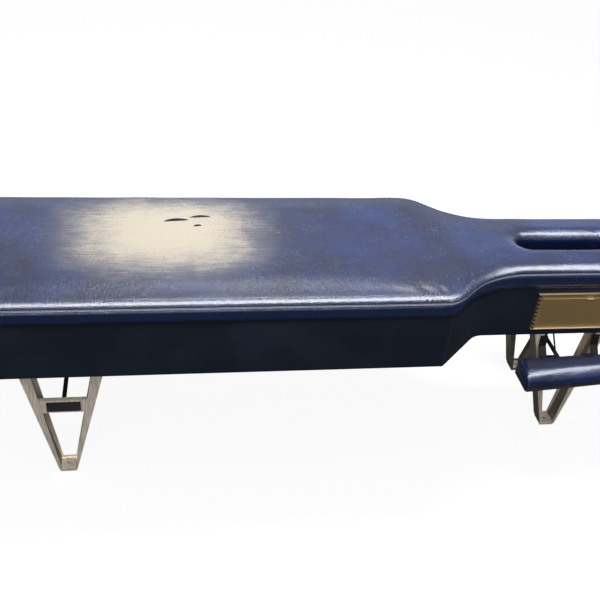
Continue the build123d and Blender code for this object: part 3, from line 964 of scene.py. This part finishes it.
@dataclass
class Outline:
    """The table's plan: a closed line of straight runs with rounded corners."""

    corners: list[tuple[float, float]]
    radii: list[float]
    spacing: float = 0.010
    breaks: tuple[float, ...] = ()

    def line(self) -> tuple[Points, Points]:
        """Walk the outline.

        Returns:
            The points in plan, and the outward direction at each.
        """
        places: list[tuple[float, float]] = []
        outward: list[tuple[float, float]] = []
        count = len(self.corners)
        ends = []
        for number in range(count):
            before = Vector(self.corners[number - 1])
            here = Vector(self.corners[number])
            after = Vector(self.corners[(number + 1) % count])
            ends.append(self._arc(before, here, after, self.radii[number]))
        for number in range(count):
            arc, ways = ends[number]
            places += arc
            outward += ways
            start = Vector(arc[-1])
            stop = Vector(ends[(number + 1) % count][0][0])
            run = stop - start
            way = run.normalized()
            stops = {k / max(1, round(run.length / self.spacing)) for k in
                     range(1, max(1, round(run.length / self.spacing)))}
            if start.y < 0 and abs(way.y) < 0.01:
                for mark in self.breaks:
                    share = (mark - start.x) / run.x
                    if 0 < share < 1:
                        near = {s for s in stops if abs(s - share) * run.length < self.spacing / 2}
                        stops = (stops - near) | {share}
            for share in sorted(stops):
                places.append(tuple(start + run * share))
                outward.append((way.y, -way.x))
        return np.array(places), np.array(outward)

    @staticmethod
    def _arc(
        before: Vector, here: Vector, after: Vector, radius: float
    ) -> tuple[list[tuple[float, float]], list[tuple[float, float]]]:
        """Round one corner.

        Args:
            before: The corner before it.
            here: The corner.
            after: The corner after it.
            radius: The radius.

        Returns:
            The arc's points and the outward direction at each.
        """
        first = (here - before).normalized()
        second = (after - here).normalized()
        turn = math.atan2(first.x * second.y - first.y * second.x, first.dot(second))
        reach = radius * math.tan(abs(turn) / 2)
        side = 1 if turn > 0 else -1
        centre = here - first * reach + Vector((-first.y, first.x)) * radius * side
        steps = max(3, round(abs(turn) * 12))
        places = []
        ways = []
        for step in range(steps + 1):
            angle = turn * step / steps
            out = Vector((first.y, -first.x))
            cos, sin = math.cos(angle), math.sin(angle)
            way = Vector((out.x * cos - out.y * sin, out.x * sin + out.y * cos))
            places.append(tuple(centre + way * radius * side))
            ways.append(tuple(way))
        return places, ways


@dataclass(frozen=True)
class Split:
    """One lens-shaped split in the cover."""

    x: float
    y: float
    half: float
    width: float
    turn: float
    bow: float = 0.16
    steps: int = 14

    def rim(self) -> list[tuple[float, float]]:
        """The split's edge in plan, once round."""
        slope = math.radians(self.turn)
        rim = []
        for side in (1, -1):
            for step in range(self.steps + 1):
                share = 2 * step / self.steps - 1
                along = self.half * share * side
                bow = self.bow * self.half * (1 - share * share)
                across = bow - side * self.width * (1 - share * share) ** 0.8 / 2
                x = self.x + along * math.cos(slope) - across * math.sin(slope)
                y = self.y + along * math.sin(slope) + across * math.cos(slope)
                rim.append((x, y))
        return rim


@dataclass
class TopCushion:
    """The long cushion: a rolled top, a seam with its welt and stitches, and a boxing band."""

    voxel: float = 0.007
    seam_height: float = SEAM_HEIGHT
    seam_depth: float = 0.0026
    seam_width: float = 0.0034
    welt_radius: float = 0.0011
    stitch_rise: float = 0.0042
    stitch_pitch: float = 0.0088
    stitch_size: tuple[float, float, float] = (0.0030, 0.00055, 0.00050)
    overhang: float = 0.012
    radii: tuple[float, ...] = (0.040, 0.100, 0.250, 0.040)
    crown: float = 0.005
    crown_start: float = 0.012
    crown_run: float = 0.100
    slot_from_head: float = 0.215
    slot_arc: float = 0.117
    slot_margin: tuple[float, float] = (0.185, 0.060)
    boxing_tuck: float = 0.007
    swell_pressure: float = 4.0
    swell_cap: float = 0.003
    ripple: float = 0.0009
    ripple_scale: float = 9.0
    shoulder_pleats: tuple[int, float] = (61, 0.0011)
    slot_pleats: tuple[int, float] = (17, 0.0004)
    splits: tuple["Split", ...] = field(
        default_factory=lambda: (
            Split(-0.371, 0.1045, 0.034, 0.0140, 6.0),
            Split(-0.304, 0.1240, 0.029, 0.0110, 4.0),
            Split(-0.313, 0.0765, 0.012, 0.0090, 12.0),
        )
    )

    def outline(self) -> Outline:
        """The cushion's plan, near side first, anticlockwise from above."""
        low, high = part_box("cushion")
        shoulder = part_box("torso_side_panel_near")[1].x
        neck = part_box("shoulder_panel_near")[1].x
        mitre = self.overhang * math.tan(math.pi / 8)
        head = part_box("head_side_panel_near")[0].y - self.overhang
        near = [(low.x, low.y), (shoulder + mitre, low.y), (neck + mitre, head), (high.x, head)]
        far = [(x, -y) for x, y in reversed(near)]
        return Outline(near + far, [*self.radii, *reversed(self.radii)], 0.006)

    def build(self) -> bpy.types.Object:
        """Model the cushion.

        Returns:
            The cushion.
        """
        piece = Bench.merged_copy("cushion", "top_cushion")
        Bench.remesh(piece, self.voxel)
        places = Bench.points(piece)
        held = places[:, 2] < self.seam_height + 0.004
        Bench.swell(piece, held, self.swell_pressure, self.swell_cap)
        Bench.apply(piece, "SMOOTH", factor=0.5, iterations=2)
        Bench.apply(piece, "SUBSURF", levels=1, render_levels=1)
        self._shape(piece)
        Bench.sheen(piece, 80.0)
        return piece

    def _shape(self, piece: bpy.types.Object) -> None:
        """Pull in the seam, round the boxing band and crease the cover.

        Args:
            piece: The cushion.
        """
        places = Bench.points(piece)
        out = Bench.directions(piece)
        level = np.hypot(out[:, 0], out[:, 1])
        flank = np.clip((level - 0.5) / 0.4, 0, 1)
        low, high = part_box("cushion")
        along, across = self.slot_margin
        inside_slot = np.abs(places[:, 1]) < across
        inside_slot &= np.abs(places[:, 0] - (high.x - self.slot_from_head)) < along
        flank[inside_slot] = 0
        gap = (places[:, 2] - self.seam_height) / self.seam_width
        push = -self.seam_depth * np.exp(-gap * gap) * flank
        share = np.clip((places[:, 2] - low.z) / (self.seam_height - low.z), 0, 1)
        push -= self.boxing_tuck * (1 - share) ** 3 * flank * (share < 1)
        push += self._creases(places)
        places[:, 2] += self._crown(places) * np.clip(out[:, 2], 0, 1)
        ripple = [noise.noise(Vector(p) * self.ripple_scale) for p in places]
        push += self.ripple * np.array(ripple) * (places[:, 2] > low.z + 0.004)
        Bench.move(piece, places + out * push[:, None])

    def _crown(self, places: Points) -> Points:
        """How far the stuffing lifts the cover, growing from the edge inwards.

        Args:
            places: The cushion's vertices.

        Returns:
            The lift of each vertex.
        """
        plan, _ = self.outline().line()
        reach = np.full(len(places), np.inf)
        for x, y in plan:
            reach = np.minimum(reach, np.hypot(places[:, 0] - x, places[:, 1] - y))
        share = np.clip((reach - self.crown_start) / self.crown_run, 0, 1)
        return self.crown * share * share * (3 - 2 * share)

    def _creases(self, places: Points) -> Points:
        """Pleats that fan out where the cover is pulled round a tight curve.

        Args:
            places: The cushion's vertices.

        Returns:
            How far each vertex is pushed out.
        """
        push = np.zeros(len(places))
        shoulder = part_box("torso_side_panel_near")[1].x
        edge = -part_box("cushion")[0].y
        tight = self.radii[1]
        centre_x = shoulder + self.overhang * math.tan(math.pi / 8) - tight * math.tan(math.pi / 8)
        for side in (-1, 1):
            centre = np.array([centre_x, side * (edge - tight)])
            push += self._fan(places, centre, (tight - 0.026, tight + 0.002), *self.shoulder_pleats)
        slot_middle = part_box("cushion")[1].x - self.slot_from_head
        for end in (-1, 1):
            centre = np.array([slot_middle + end * self.slot_arc, 0.0])
            push += self._fan(places, centre, (0.034, 0.062), *self.slot_pleats)
        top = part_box("cushion")[1].z
        on_roll = np.clip((top - 0.0004 - places[:, 2]) / 0.003, 0, 1)
        return push * on_roll * (places[:, 2] > self.seam_height + 0.004)

    @staticmethod
    def _fan(
        places: Points, centre: Points, reach: tuple[float, float], count: int, height: float
    ) -> Points:
        """One fan of pleats round a centre.

        Args:
            places: The vertices.
            centre: The fan's centre in plan.
            reach: Where the pleats start and end, from the centre.
            count: How many go round a full turn.
            height: Their height.

        Returns:
            How far each vertex is pushed out.
        """
        way = places[:, :2] - centre
        far = np.hypot(way[:, 0], way[:, 1])
        angle = np.arctan2(way[:, 1], way[:, 0])
        inner, outer = reach
        window = np.clip((far - inner) / (outer - inner) * 3, 0, 1)
        window *= np.clip((outer + 0.010 - far) / 0.010, 0, 1)
        wave = np.sin(angle * count + 3.0 * np.sin(angle * 5.0)) ** 3
        return height * wave * window

    def seam(self, skin: Skin, height: float, rise: float) -> tuple[Points, list[Vector]]:
        """Lay a line round the cushion's side.

        Args:
            skin: The cushion's surface.
            height: Its height above the floor.
            rise: How far it stands off the surface.

        Returns:
            The line's points, and the surface's direction at each.
        """
        plan, ways = self.outline().line()
        line = []
        outward = []
        for (x, y), (across, along) in zip(plan, ways):
            way = Vector((across, along, 0))
            found = skin.seat(Vector((x, y, height)) + way * 0.03, -way)
            if found:
                line.append(found[0] + way * rise)
                outward.append(found[1])
        return np.array(line), outward

    def welt(self, skin: Skin) -> bpy.types.Object:
        """The folded edge that shows along the seam."""
        line, _ = self.seam(skin, self.seam_height, self.welt_radius * 0.25)
        return Bench.tube("seam_welt", line, self.welt_radius, True)

    def stitches(self, skin: Skin) -> bpy.types.Object:
        """One row of stitches above the seam."""
        line, outward = self.seam(skin, self.seam_height + self.stitch_rise, 0.0)
        steps = np.linalg.norm(np.roll(line, -1, axis=0) - line, axis=1)
        walked = np.concatenate([[0], np.cumsum(steps)])
        count = int(walked[-1] / self.stitch_pitch)
        ring = np.concatenate([line, line[:1]])
        Bench.clear()
        bpy.ops.mesh.primitive_uv_sphere_add(segments=8, ring_count=5, radius=1.0)
        pattern = bpy.context.object
        long, wide, thick = self.stitch_size
        shape = Bench.points(pattern)[:, [2, 0, 1]] * np.array([long, wide, thick])
        Bench.move(pattern, shape)
        places = []
        for number in range(count):
            at = walked[-1] * (number + 0.5) / count
            spot = Vector([np.interp(at, walked, ring[:, k]) for k in range(3)])
            ahead = Vector([np.interp(at + 0.002, walked, ring[:, k]) for k in range(3)])
            out = outward[min(int(np.searchsorted(walked, at)) - 1, len(outward) - 1)]
            along = (ahead - spot).normalized()
            up = out.cross(along).normalized()
            turn = Matrix((along, up, out.normalized())).transposed().to_4x4()
            places.append(Matrix.Translation(spot + out * 0.0002) @ turn)
        return Bench.copies("seam_stitches", pattern, places)

    def tears(self, skin: Skin) -> bpy.types.Object:
        """Three short splits in the seat patch, which is partly wear and partly a painted highlight,
        as thin plates sunk in it.
        """
        rings = []
        faces = []
        for split in self.splits:
            start = len(rings)
            rim = split.rim()
            size = len(rim)
            for depth in (0.0, 0.0030):
                for x, y in rim:
                    top = skin.seat(Vector((x, y, 0.65)), Vector((0, 0, -1)))[0]
                    rings.append((x, y, top.z + 0.0006 - depth))
            upper = list(range(start, start + size))
            lower = list(range(start + size, start + 2 * size))
            faces.append(tuple(upper))
            faces.append(tuple(reversed(lower)))
            for k in range(size):
                after = (k + 1) % size
                faces.append((lower[k], lower[after], upper[after], upper[k]))
        mesh = bpy.data.meshes.new("cover_splits")
        mesh.from_pydata(rings, [], faces)
        piece = bpy.data.objects.new("cover_splits", mesh)
        bpy.context.scene.collection.objects.link(piece)
        Bench.only(piece)
        bpy.ops.object.mode_set(mode="EDIT")
        bpy.ops.mesh.select_all(action="SELECT")
        bpy.ops.mesh.remove_doubles(threshold=0.00002)
        bpy.ops.mesh.normals_make_consistent(inside=False)
        bpy.ops.object.mode_set(mode="OBJECT")
        return piece

    def finish(self, materials: dict[str, bpy.types.Material]) -> None:
        """Build the cushion and everything sewn to it.

        Args:
            materials: The materials by name.
        """
        piece = self.build()
        Bench.dress(piece, materials["cover"], "top_vinyl")
        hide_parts("cushion")
        skin = Skin(piece)
        Bench.dress(self.welt(skin), materials["welt"], "top_vinyl")
        Bench.dress(self.stitches(skin), materials["thread"], "top_vinyl")
        Bench.dress(self.tears(skin), materials["split"], "top_vinyl")


@dataclass
class SideWrap:
    """Vinyl stretched over the body's boards, from under the cushion to the lower edge."""

    corner: float = 0.006
    neck: float = 0.060
    edge: float = 0.0045
    wall: float = 0.015
    ripple: float = 0.0007
    ripple_scale: float = 5.5
    fold_offset: float = 0.018
    fold_slope: float = 0.35
    fold_width: float = 0.012
    fold_rise: float = 0.0016
    fold_dip: float = 0.0014
    nodes: tuple[str, ...] = (
        "torso_side_panel_near", "torso_side_panel_far", "shoulder_panel_near",
        "shoulder_panel_far", "head_side_panel_near", "head_side_panel_far",
        "foot_end_panel", "head_end_panel",
    )

    def build(self) -> bpy.types.Object:
        """Model the wrap as one closed band with the compartment's opening in it.

        Returns:
            The wrap.
        """
        low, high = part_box("torso_side_panel_near")
        neck_low, neck_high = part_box("shoulder_panel_near")
        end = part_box("head_end_panel")[1].x
        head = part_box("head_side_panel_near")[0].y
        door_low, door_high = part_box("compartment_liner")
        near = [(low.x, low.y), (high.x, low.y), (neck_high.x, head), (end, head)]
        far = [(x, -y) for x, y in reversed(near)]
        radii = [self.corner, self.corner, self.neck, self.corner]
        line = Outline(near + far, radii + radii[::-1], 0.010, (door_low.x, door_high.x))
        plan, ways = line.line()
        rows = self._rows(low.z, high.z, door_low.z, door_high.z)
        Bench.clear()
        bpy.ops.mesh.primitive_circle_add(vertices=len(plan), fill_type="NOTHING")
        piece = bpy.context.object
        piece.name = "side_wrap"
        Bench.move(piece, np.c_[plan, np.full(len(plan), rows[0])])
        bpy.ops.object.mode_set(mode="EDIT")
        bpy.ops.mesh.select_all(action="SELECT")
        for lower, upper in zip(rows, rows[1:]):
            bpy.ops.mesh.extrude_region_move(
                TRANSFORM_OT_translate={"value": (0, 0, upper - lower)}
            )
        bpy.ops.mesh.select_all(action="SELECT")
        bpy.ops.mesh.normals_make_consistent(inside=False)
        bpy.ops.object.mode_set(mode="OBJECT")
        self._open(piece, head, (door_low.x, door_high.x), (door_low.z, door_high.z))
        self._pull(piece, low.z, high.z)
        Bench.apply(piece, "SOLIDIFY", thickness=self.wall, offset=-1.0, use_even_offset=True)
        Bench.sheen(piece, 35.0)
        return piece

    @staticmethod
    def _rows(bottom: float, top: float, door_bottom: float, door_top: float) -> list[float]:
        """Heights of the wrap's rows, closer together at the rounded lower edge."""
        rows = [bottom, bottom + 0.0012, bottom + 0.003, bottom + 0.006, bottom + 0.014]
        marks = [door_bottom, door_top, top]
        for mark in marks:
            count = max(1, round((mark - rows[-1]) / 0.010))
            start = rows[-1]
            rows += [start + (mark - start) * (k + 1) / count for k in range(count)]
        return rows

    @staticmethod
    def _open(
        piece: bpy.types.Object, face: float, across: tuple[float, float],
        heights: tuple[float, float],
    ) -> None:
        """Cut the compartment's opening out of the near head panel.

        Args:
            piece: The wrap.
            face: Where the head panel's face is across the table.
            across: The opening's ends along the table.
            heights: Its lower and upper edge.
        """
        Bench.only(piece)
        for polygon in piece.data.polygons:
            c = polygon.center
            polygon.select = (
                abs(c.y - face) < 0.002
                and across[0] < c.x < across[1]
                and heights[0] < c.z < heights[1]
            )
        for part in (piece.data.edges, piece.data.vertices):
            part.foreach_set("select", [False] * len(part))
        bpy.ops.object.mode_set(mode="EDIT")
        bpy.context.tool_settings.mesh_select_mode = (False, False, True)
        bpy.ops.mesh.delete(type="FACE")
        bpy.context.tool_settings.mesh_select_mode = (True, False, False)
        bpy.ops.object.mode_set(mode="OBJECT")

    def _pull(self, piece: bpy.types.Object, bottom: float, top: float) -> None:
        """Round the lower edge and let the cover lie a little unevenly.

        Args:
            piece: The wrap's outer face.
            bottom: Its lower edge.
            top: Its upper edge.
        """
        places = Bench.points(piece)
        out = Bench.directions(piece)
        rise = places[:, 2] - bottom
        drop = np.clip(1 - rise / self.edge, 0, 1)
        push = -self.edge * (1 - np.sqrt(np.clip(1 - drop * drop, 0, 1)))
        middle = np.sin(np.clip(rise / (top - bottom), 0, 1) * math.pi)
        ripple = np.array([noise.noise(Vector(p) * self.ripple_scale) for p in places])
        push += (self.ripple * ripple + 0.0002) * middle
        push += self._gather(places)
        Bench.move(piece, places + out * push[:, None])

    def _gather(self, places: Points) -> Points:
        """The slack fold that hangs beside the neck on each side.

        Args:
            places: The wrap's vertices.

        Returns:
            How far each vertex is pushed out.
        """
        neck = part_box("shoulder_panel_near")[1].x
        height = places[:, 2]
        line = places[:, 0] - (neck + self.fold_offset + (height - 0.42) * self.fold_slope)
        window = np.clip((height - 0.355) / 0.05, 0, 1) * np.clip((0.5 - height) / 0.03, 0, 1)
        ridge = np.exp(-(line / self.fold_width) ** 2) * self.fold_rise
        dip = np.exp(-((line - 0.022) / self.fold_width) ** 2) * self.fold_dip
        return (ridge - dip) * window

    def finish(self, materials: dict[str, bpy.types.Material]) -> None:
        """Build the wrap.

        Args:
            materials: The materials by name.
        """
        piece = self.build()
        Bench.dress(piece, materials["panel"], "side_vinyl")
        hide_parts(*self.nodes)


@dataclass
class Armrest:
    """One padded armrest: its cover and the seams of its end caps."""

    side: str
    voxel: float = 0.004
    welt_radius: float = 0.0009
    cap: float = 0.006
    cap_groove: float = 0.0022
    swell_pressure: float = 4.0
    swell_cap: float = 0.0025
    ripple: float = 0.0006
    ripple_scale: float = 22.0
    welt_middle: float = 0.016

    @property
    def body(self) -> str:
        """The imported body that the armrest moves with."""
        return f"{self.side}_armrest"

    def pad(self) -> bpy.types.Object:
        """Model the pad's cover."""
        piece = Bench.merged_copy(f"armrest_pad_{self.side}", f"armrest_cover_{self.side}")
        Bench.remesh(piece, self.voxel)
        low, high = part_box(f"armrest_pad_{self.side}")
        places = Bench.points(piece)
        held = places[:, 2] < low.z + 0.006
        Bench.swell(piece, held, self.swell_pressure, self.swell_cap)
        Bench.apply(piece, "SMOOTH", factor=0.5, iterations=1)
        Bench.apply(piece, "SUBSURF", levels=1, render_levels=1)
        places = Bench.points(piece)
        out = Bench.directions(piece)
        ripple = np.array([noise.noise(Vector(p) * self.ripple_scale) for p in places])
        rise = np.clip((places[:, 2] - low.z - 0.003) / 0.010, 0, 1)
        for end in (low.x + self.cap, high.x - self.cap):
            gap = (places[:, 0] - end) / self.cap_groove
            ripple = ripple - 1.6 * np.exp(-gap * gap)
        Bench.move(piece, places + out * (self.ripple * ripple * rise)[:, None])
        Bench.sheen(piece, 80.0)
        return piece

    def welts(self, skin: Skin) -> list[bpy.types.Object]:
        """The seams round the end caps, seated on the cover."""
        low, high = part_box(f"armrest_pad_{self.side}")
        middle = Vector((0, (low.y + high.y) / 2, low.z + self.welt_middle))
        pieces = []
        for word, x in (("foot", low.x + self.cap), ("head", high.x - self.cap)):
            line = []
            for step in range(49):
                angle = math.radians(-8 + 196 * step / 48)
                way = Vector((0, math.cos(angle), math.sin(angle)))
                found = skin.seat(Vector((x, middle.y, middle.z)) + way * 0.2, -way)
                if found:
                    line.append(found[0] + found[1] * 0.0003)
            name = f"armrest_cap_seam_{word}_{self.side}"
            pieces.append(Bench.tube(name, np.array(line), self.welt_radius, False))
        return pieces

    def finish(self, materials: dict[str, bpy.types.Material]) -> None:
        """Build the armrest's soft parts.

        Args:
            materials: The materials by name.
        """
        piece = self.pad()
        Bench.dress(piece, materials["arm_cover"], "top_vinyl", self.body)
        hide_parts(f"armrest_pad_{self.side}")
        for seam in self.welts(Skin(piece)):
            Bench.dress(seam, materials["welt"], "top_vinyl", self.body)


@dataclass
class Hardware:
    """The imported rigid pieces, which keep their shapes and get their finishes."""

    finishes: dict[str, str] = field(
        default_factory=lambda: {
            "deck": "wood", "leg_batten": "wood", "foot_leg_": "leg", "head_leg_": "leg",
            "cross_strip": "leg", "leg_pad": "rubber", "spreader": "black",
            "blank_plate": "plate", "bolts": "bolt", "door_frame": "bronze",
            "door_panel": "bronze", "liner": "liner", "hinge_leaf_fixed": "hinge_dark",
            "hinge_leaf_moving": "hinge_pale", "hinge_pin": "bolt", "strike": "bolt",
            "magnet": "plate", "hanger_": "black", "armrest_block": "black",
            "armrest_board": "board", "armrest_pin": "bolt", "stop_rod": "black",
        }
    )

    def finish(self, materials: dict[str, bpy.types.Material]) -> None:
        """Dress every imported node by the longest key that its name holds.

        Args:
            materials: The materials by name.
        """
        for name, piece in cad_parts.items():
            keys = [key for key in self.finishes if key in name]
            if not keys:
                continue
            chosen = self.finishes[max(keys, key=len)]
            piece.data.materials.clear()
            piece.data.materials.append(materials[chosen])
            log.info("%s is finished as %s", name, chosen)


@dataclass(frozen=True)
class Lamp:
    """One soft lamp: where it hangs, what it faces, its size in metres and its power in watts."""

    name: str
    place: Colour
    aim: Colour
    size: tuple[float, float]
    power: float
    tint: Colour = (1.0, 1.0, 1.0)
    lights_colour: bool = True

    def hang(self) -> None:
        """Put the lamp in the scene. One that lights no colour only shows as a reflection."""
        data = bpy.data.lights.new(self.name, "AREA")
        data.shape = "RECTANGLE"
        data.size, data.size_y = self.size
        data.energy = self.power
        data.color = self.tint
        lamp = bpy.data.objects.new(self.name, data)
        bpy.context.scene.collection.objects.link(lamp)
        way = Vector(self.aim) - Vector(self.place)
        turn = way.to_track_quat("-Z", "Y").to_matrix().to_4x4()
        lamp.matrix_world = Matrix.Translation(self.place) @ turn
        lamp.visible_diffuse = self.lights_colour


@dataclass
class Studio:
    """The photographer's camera, the pale floor and the soft lamps."""

    place: tuple[float, float, float] = (-0.4294, -2.0196, 1.8187)
    yaw: float = 11.40
    pitch: float = 34.91
    roll: float = -5.64
    focal_pixels: float = 876.0
    picture: float = 600.0
    sensor: float = 36.0
    floor_size: float = 60.0
    floor_matte: tuple[float, ...] = (0.18, 0.18, 0.181, 1.0)
    floor_glow: float = 0.90
    room_colour: tuple[float, ...] = (0.93, 0.96, 1.0, 1.0)
    room_strength: float = 0.42
    lamps: tuple[Lamp, ...] = (
        Lamp("key", (0.1, 0.75, 2.7), (0.0, 0.0, 0.5), (1.6, 0.5), 62.0),
        Lamp("front", (-0.6, -2.6, 1.5), (0.0, 0.0, 0.4), (2.6, 1.2), 16.0, (1.0, 0.97, 0.93)),
        Lamp("sheen", (0.4, -0.95, 2.25), (0.3, -0.2, 0.5), (3.8, 1.0), 420.0, lights_colour=False),
    )

    def camera(self) -> None:
        """Set up the camera at the photograph's angle."""
        data = bpy.data.cameras.new("camera")
        data.sensor_width = self.sensor
        data.lens = self.sensor * self.focal_pixels / self.picture
        data.clip_end = 200.0
        camera = bpy.data.objects.new("camera", data)
        bpy.context.scene.collection.objects.link(camera)
        yaw, pitch, roll = (math.radians(a) for a in (self.yaw, self.pitch, self.roll))
        ahead = Vector(
            (math.sin(yaw) * math.cos(pitch), math.cos(yaw) * math.cos(pitch), -math.sin(pitch))
        )
        level = Vector((math.cos(yaw), -math.sin(yaw), 0))
        down = ahead.cross(level)
        right = level * math.cos(roll) + down * math.sin(roll)
        lower = down * math.cos(roll) - level * math.sin(roll)
        turn = Matrix((right, -lower, -ahead)).transposed().to_4x4()
        camera.matrix_world = Matrix.Translation(self.place) @ turn
        bpy.context.scene.camera = camera

    def floor(self) -> None:
        """Lay a floor that keeps the object's shadow and is white to the camera."""
        Bench.clear()
        bpy.ops.mesh.primitive_plane_add(size=self.floor_size)
        floor = bpy.context.object
        floor.name = "floor"
        material = bpy.data.materials.new("floor")
        material.use_nodes = True
        tree = material.node_tree
        tree.nodes.clear()
        matte = add_node(tree, "ShaderNodeBsdfDiffuse", {}, {"Color": self.floor_matte})
        glow = add_node(tree, "ShaderNodeEmission", {}, {"Strength": self.floor_glow})
        nothing = add_node(tree, "ShaderNodeEmission", {}, {"Strength": 0.0})
        seen = add_node(tree, "ShaderNodeLightPath", {}, {})
        fills = {0: seen.outputs["Is Camera Ray"], 1: nothing.outputs[0], 2: glow.outputs[0]}
        choice = add_node(tree, "ShaderNodeMixShader", {}, fills)
        fills = {0: matte.outputs[0], 1: choice.outputs[0]}
        total = add_node(tree, "ShaderNodeAddShader", {}, fills)
        add_node(tree, "ShaderNodeOutputMaterial", {}, {"Surface": total.outputs[0]})
        floor.data.materials.append(material)

    def world(self) -> None:
        """Light the room evenly, with a white backdrop for the camera."""
        world = bpy.data.worlds.new("world")
        bpy.context.scene.world = world
        world.use_nodes = True
        tree = world.node_tree
        tree.nodes.clear()
        fills = {"Color": self.room_colour, "Strength": self.room_strength}
        room = add_node(tree, "ShaderNodeBackground", {}, fills)
        fills = {"Color": (1.0, 1.0, 1.0, 1.0), "Strength": 1.0}
        white = add_node(tree, "ShaderNodeBackground", {}, fills)
        seen = add_node(tree, "ShaderNodeLightPath", {}, {})
        fills = {0: seen.outputs["Is Camera Ray"], 1: seen.outputs["Is Glossy Ray"]}
        either = add_node(tree, "ShaderNodeMath", {"operation": "MAXIMUM"}, fills)
        fills = {0: either.outputs[0], 1: room.outputs[0], 2: white.outputs[0]}
        choice = add_node(tree, "ShaderNodeMixShader", {}, fills)
        add_node(tree, "ShaderNodeOutputWorld", {}, {"Surface": choice.outputs[0]})

    def finish(self) -> None:
        """Set the whole studio up."""
        scene = bpy.context.scene
        scene.view_settings.view_transform = "Standard"
        self.camera()
        self.floor()
        self.world()
        for lamp in self.lamps:
            lamp.hang()


def make_materials() -> dict[str, bpy.types.Material]:
    """Make every finish once.

    Returns:
        The materials by name.
    """
    finishes = {
        "cover": CoverVinyl(),
        "arm_cover": CoverVinyl(Wear.LIGHT, srgb(15, 32, 78), srgb(26, 50, 106), roughness=0.26),
        "welt": PlainPaint(srgb(40, 58, 104), srgb(120, 136, 176), 0.3, specular=0.55),
        "thread": Thread(),
        "split": PlainPaint(srgb(24, 26, 36), srgb(70, 62, 56), 0.8, specular=0.1),
        "panel": PanelVinyl(),
        "leg": BrushedLeg(),
        "black": PlainPaint(srgb(18, 18, 20), srgb(60, 56, 52), 0.6, specular=0.06),
        "plate": PlainPaint(srgb(18, 18, 20), srgb(48, 48, 50), 0.45, specular=0.3, wear=0.15),
        "bolt": PlainPaint(srgb(150, 146, 140), srgb(96, 84, 70), 0.35, metallic=0.9),
        "bronze": BronzeSheet(),
        "hinge_pale": PlainPaint(srgb(132, 112, 78), srgb(160, 142, 112), 0.4, metallic=0.4),
        "hinge_dark": PlainPaint(srgb(26, 23, 20), srgb(60, 52, 44), 0.5, metallic=0.3, wear=0.2),
        "liner": PlainPaint(srgb(56, 50, 42), srgb(90, 82, 68), 0.6, metallic=0.4),
        "wood": BoardWood(),
        "board": PlainPaint(srgb(22, 22, 28), srgb(70, 66, 64), 0.5, specular=0.3),
        "rubber": PlainPaint(srgb(22, 22, 22), srgb(58, 56, 54), 0.8, specular=0.2),
    }
    return {name: finish.build(name) for name, finish in finishes.items()}


def main() -> None:
    """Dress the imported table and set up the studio."""
    logging.basicConfig(level=logging.INFO, format="%(name)s: %(message)s")
    materials = make_materials()
    Hardware().finish(materials)
    TopCushion().finish(materials)
    SideWrap().finish(materials)
    for side in ("near", "far"):
        Armrest(side).finish(materials)
    Studio().finish()


if __name__ == "__main__":
    main()
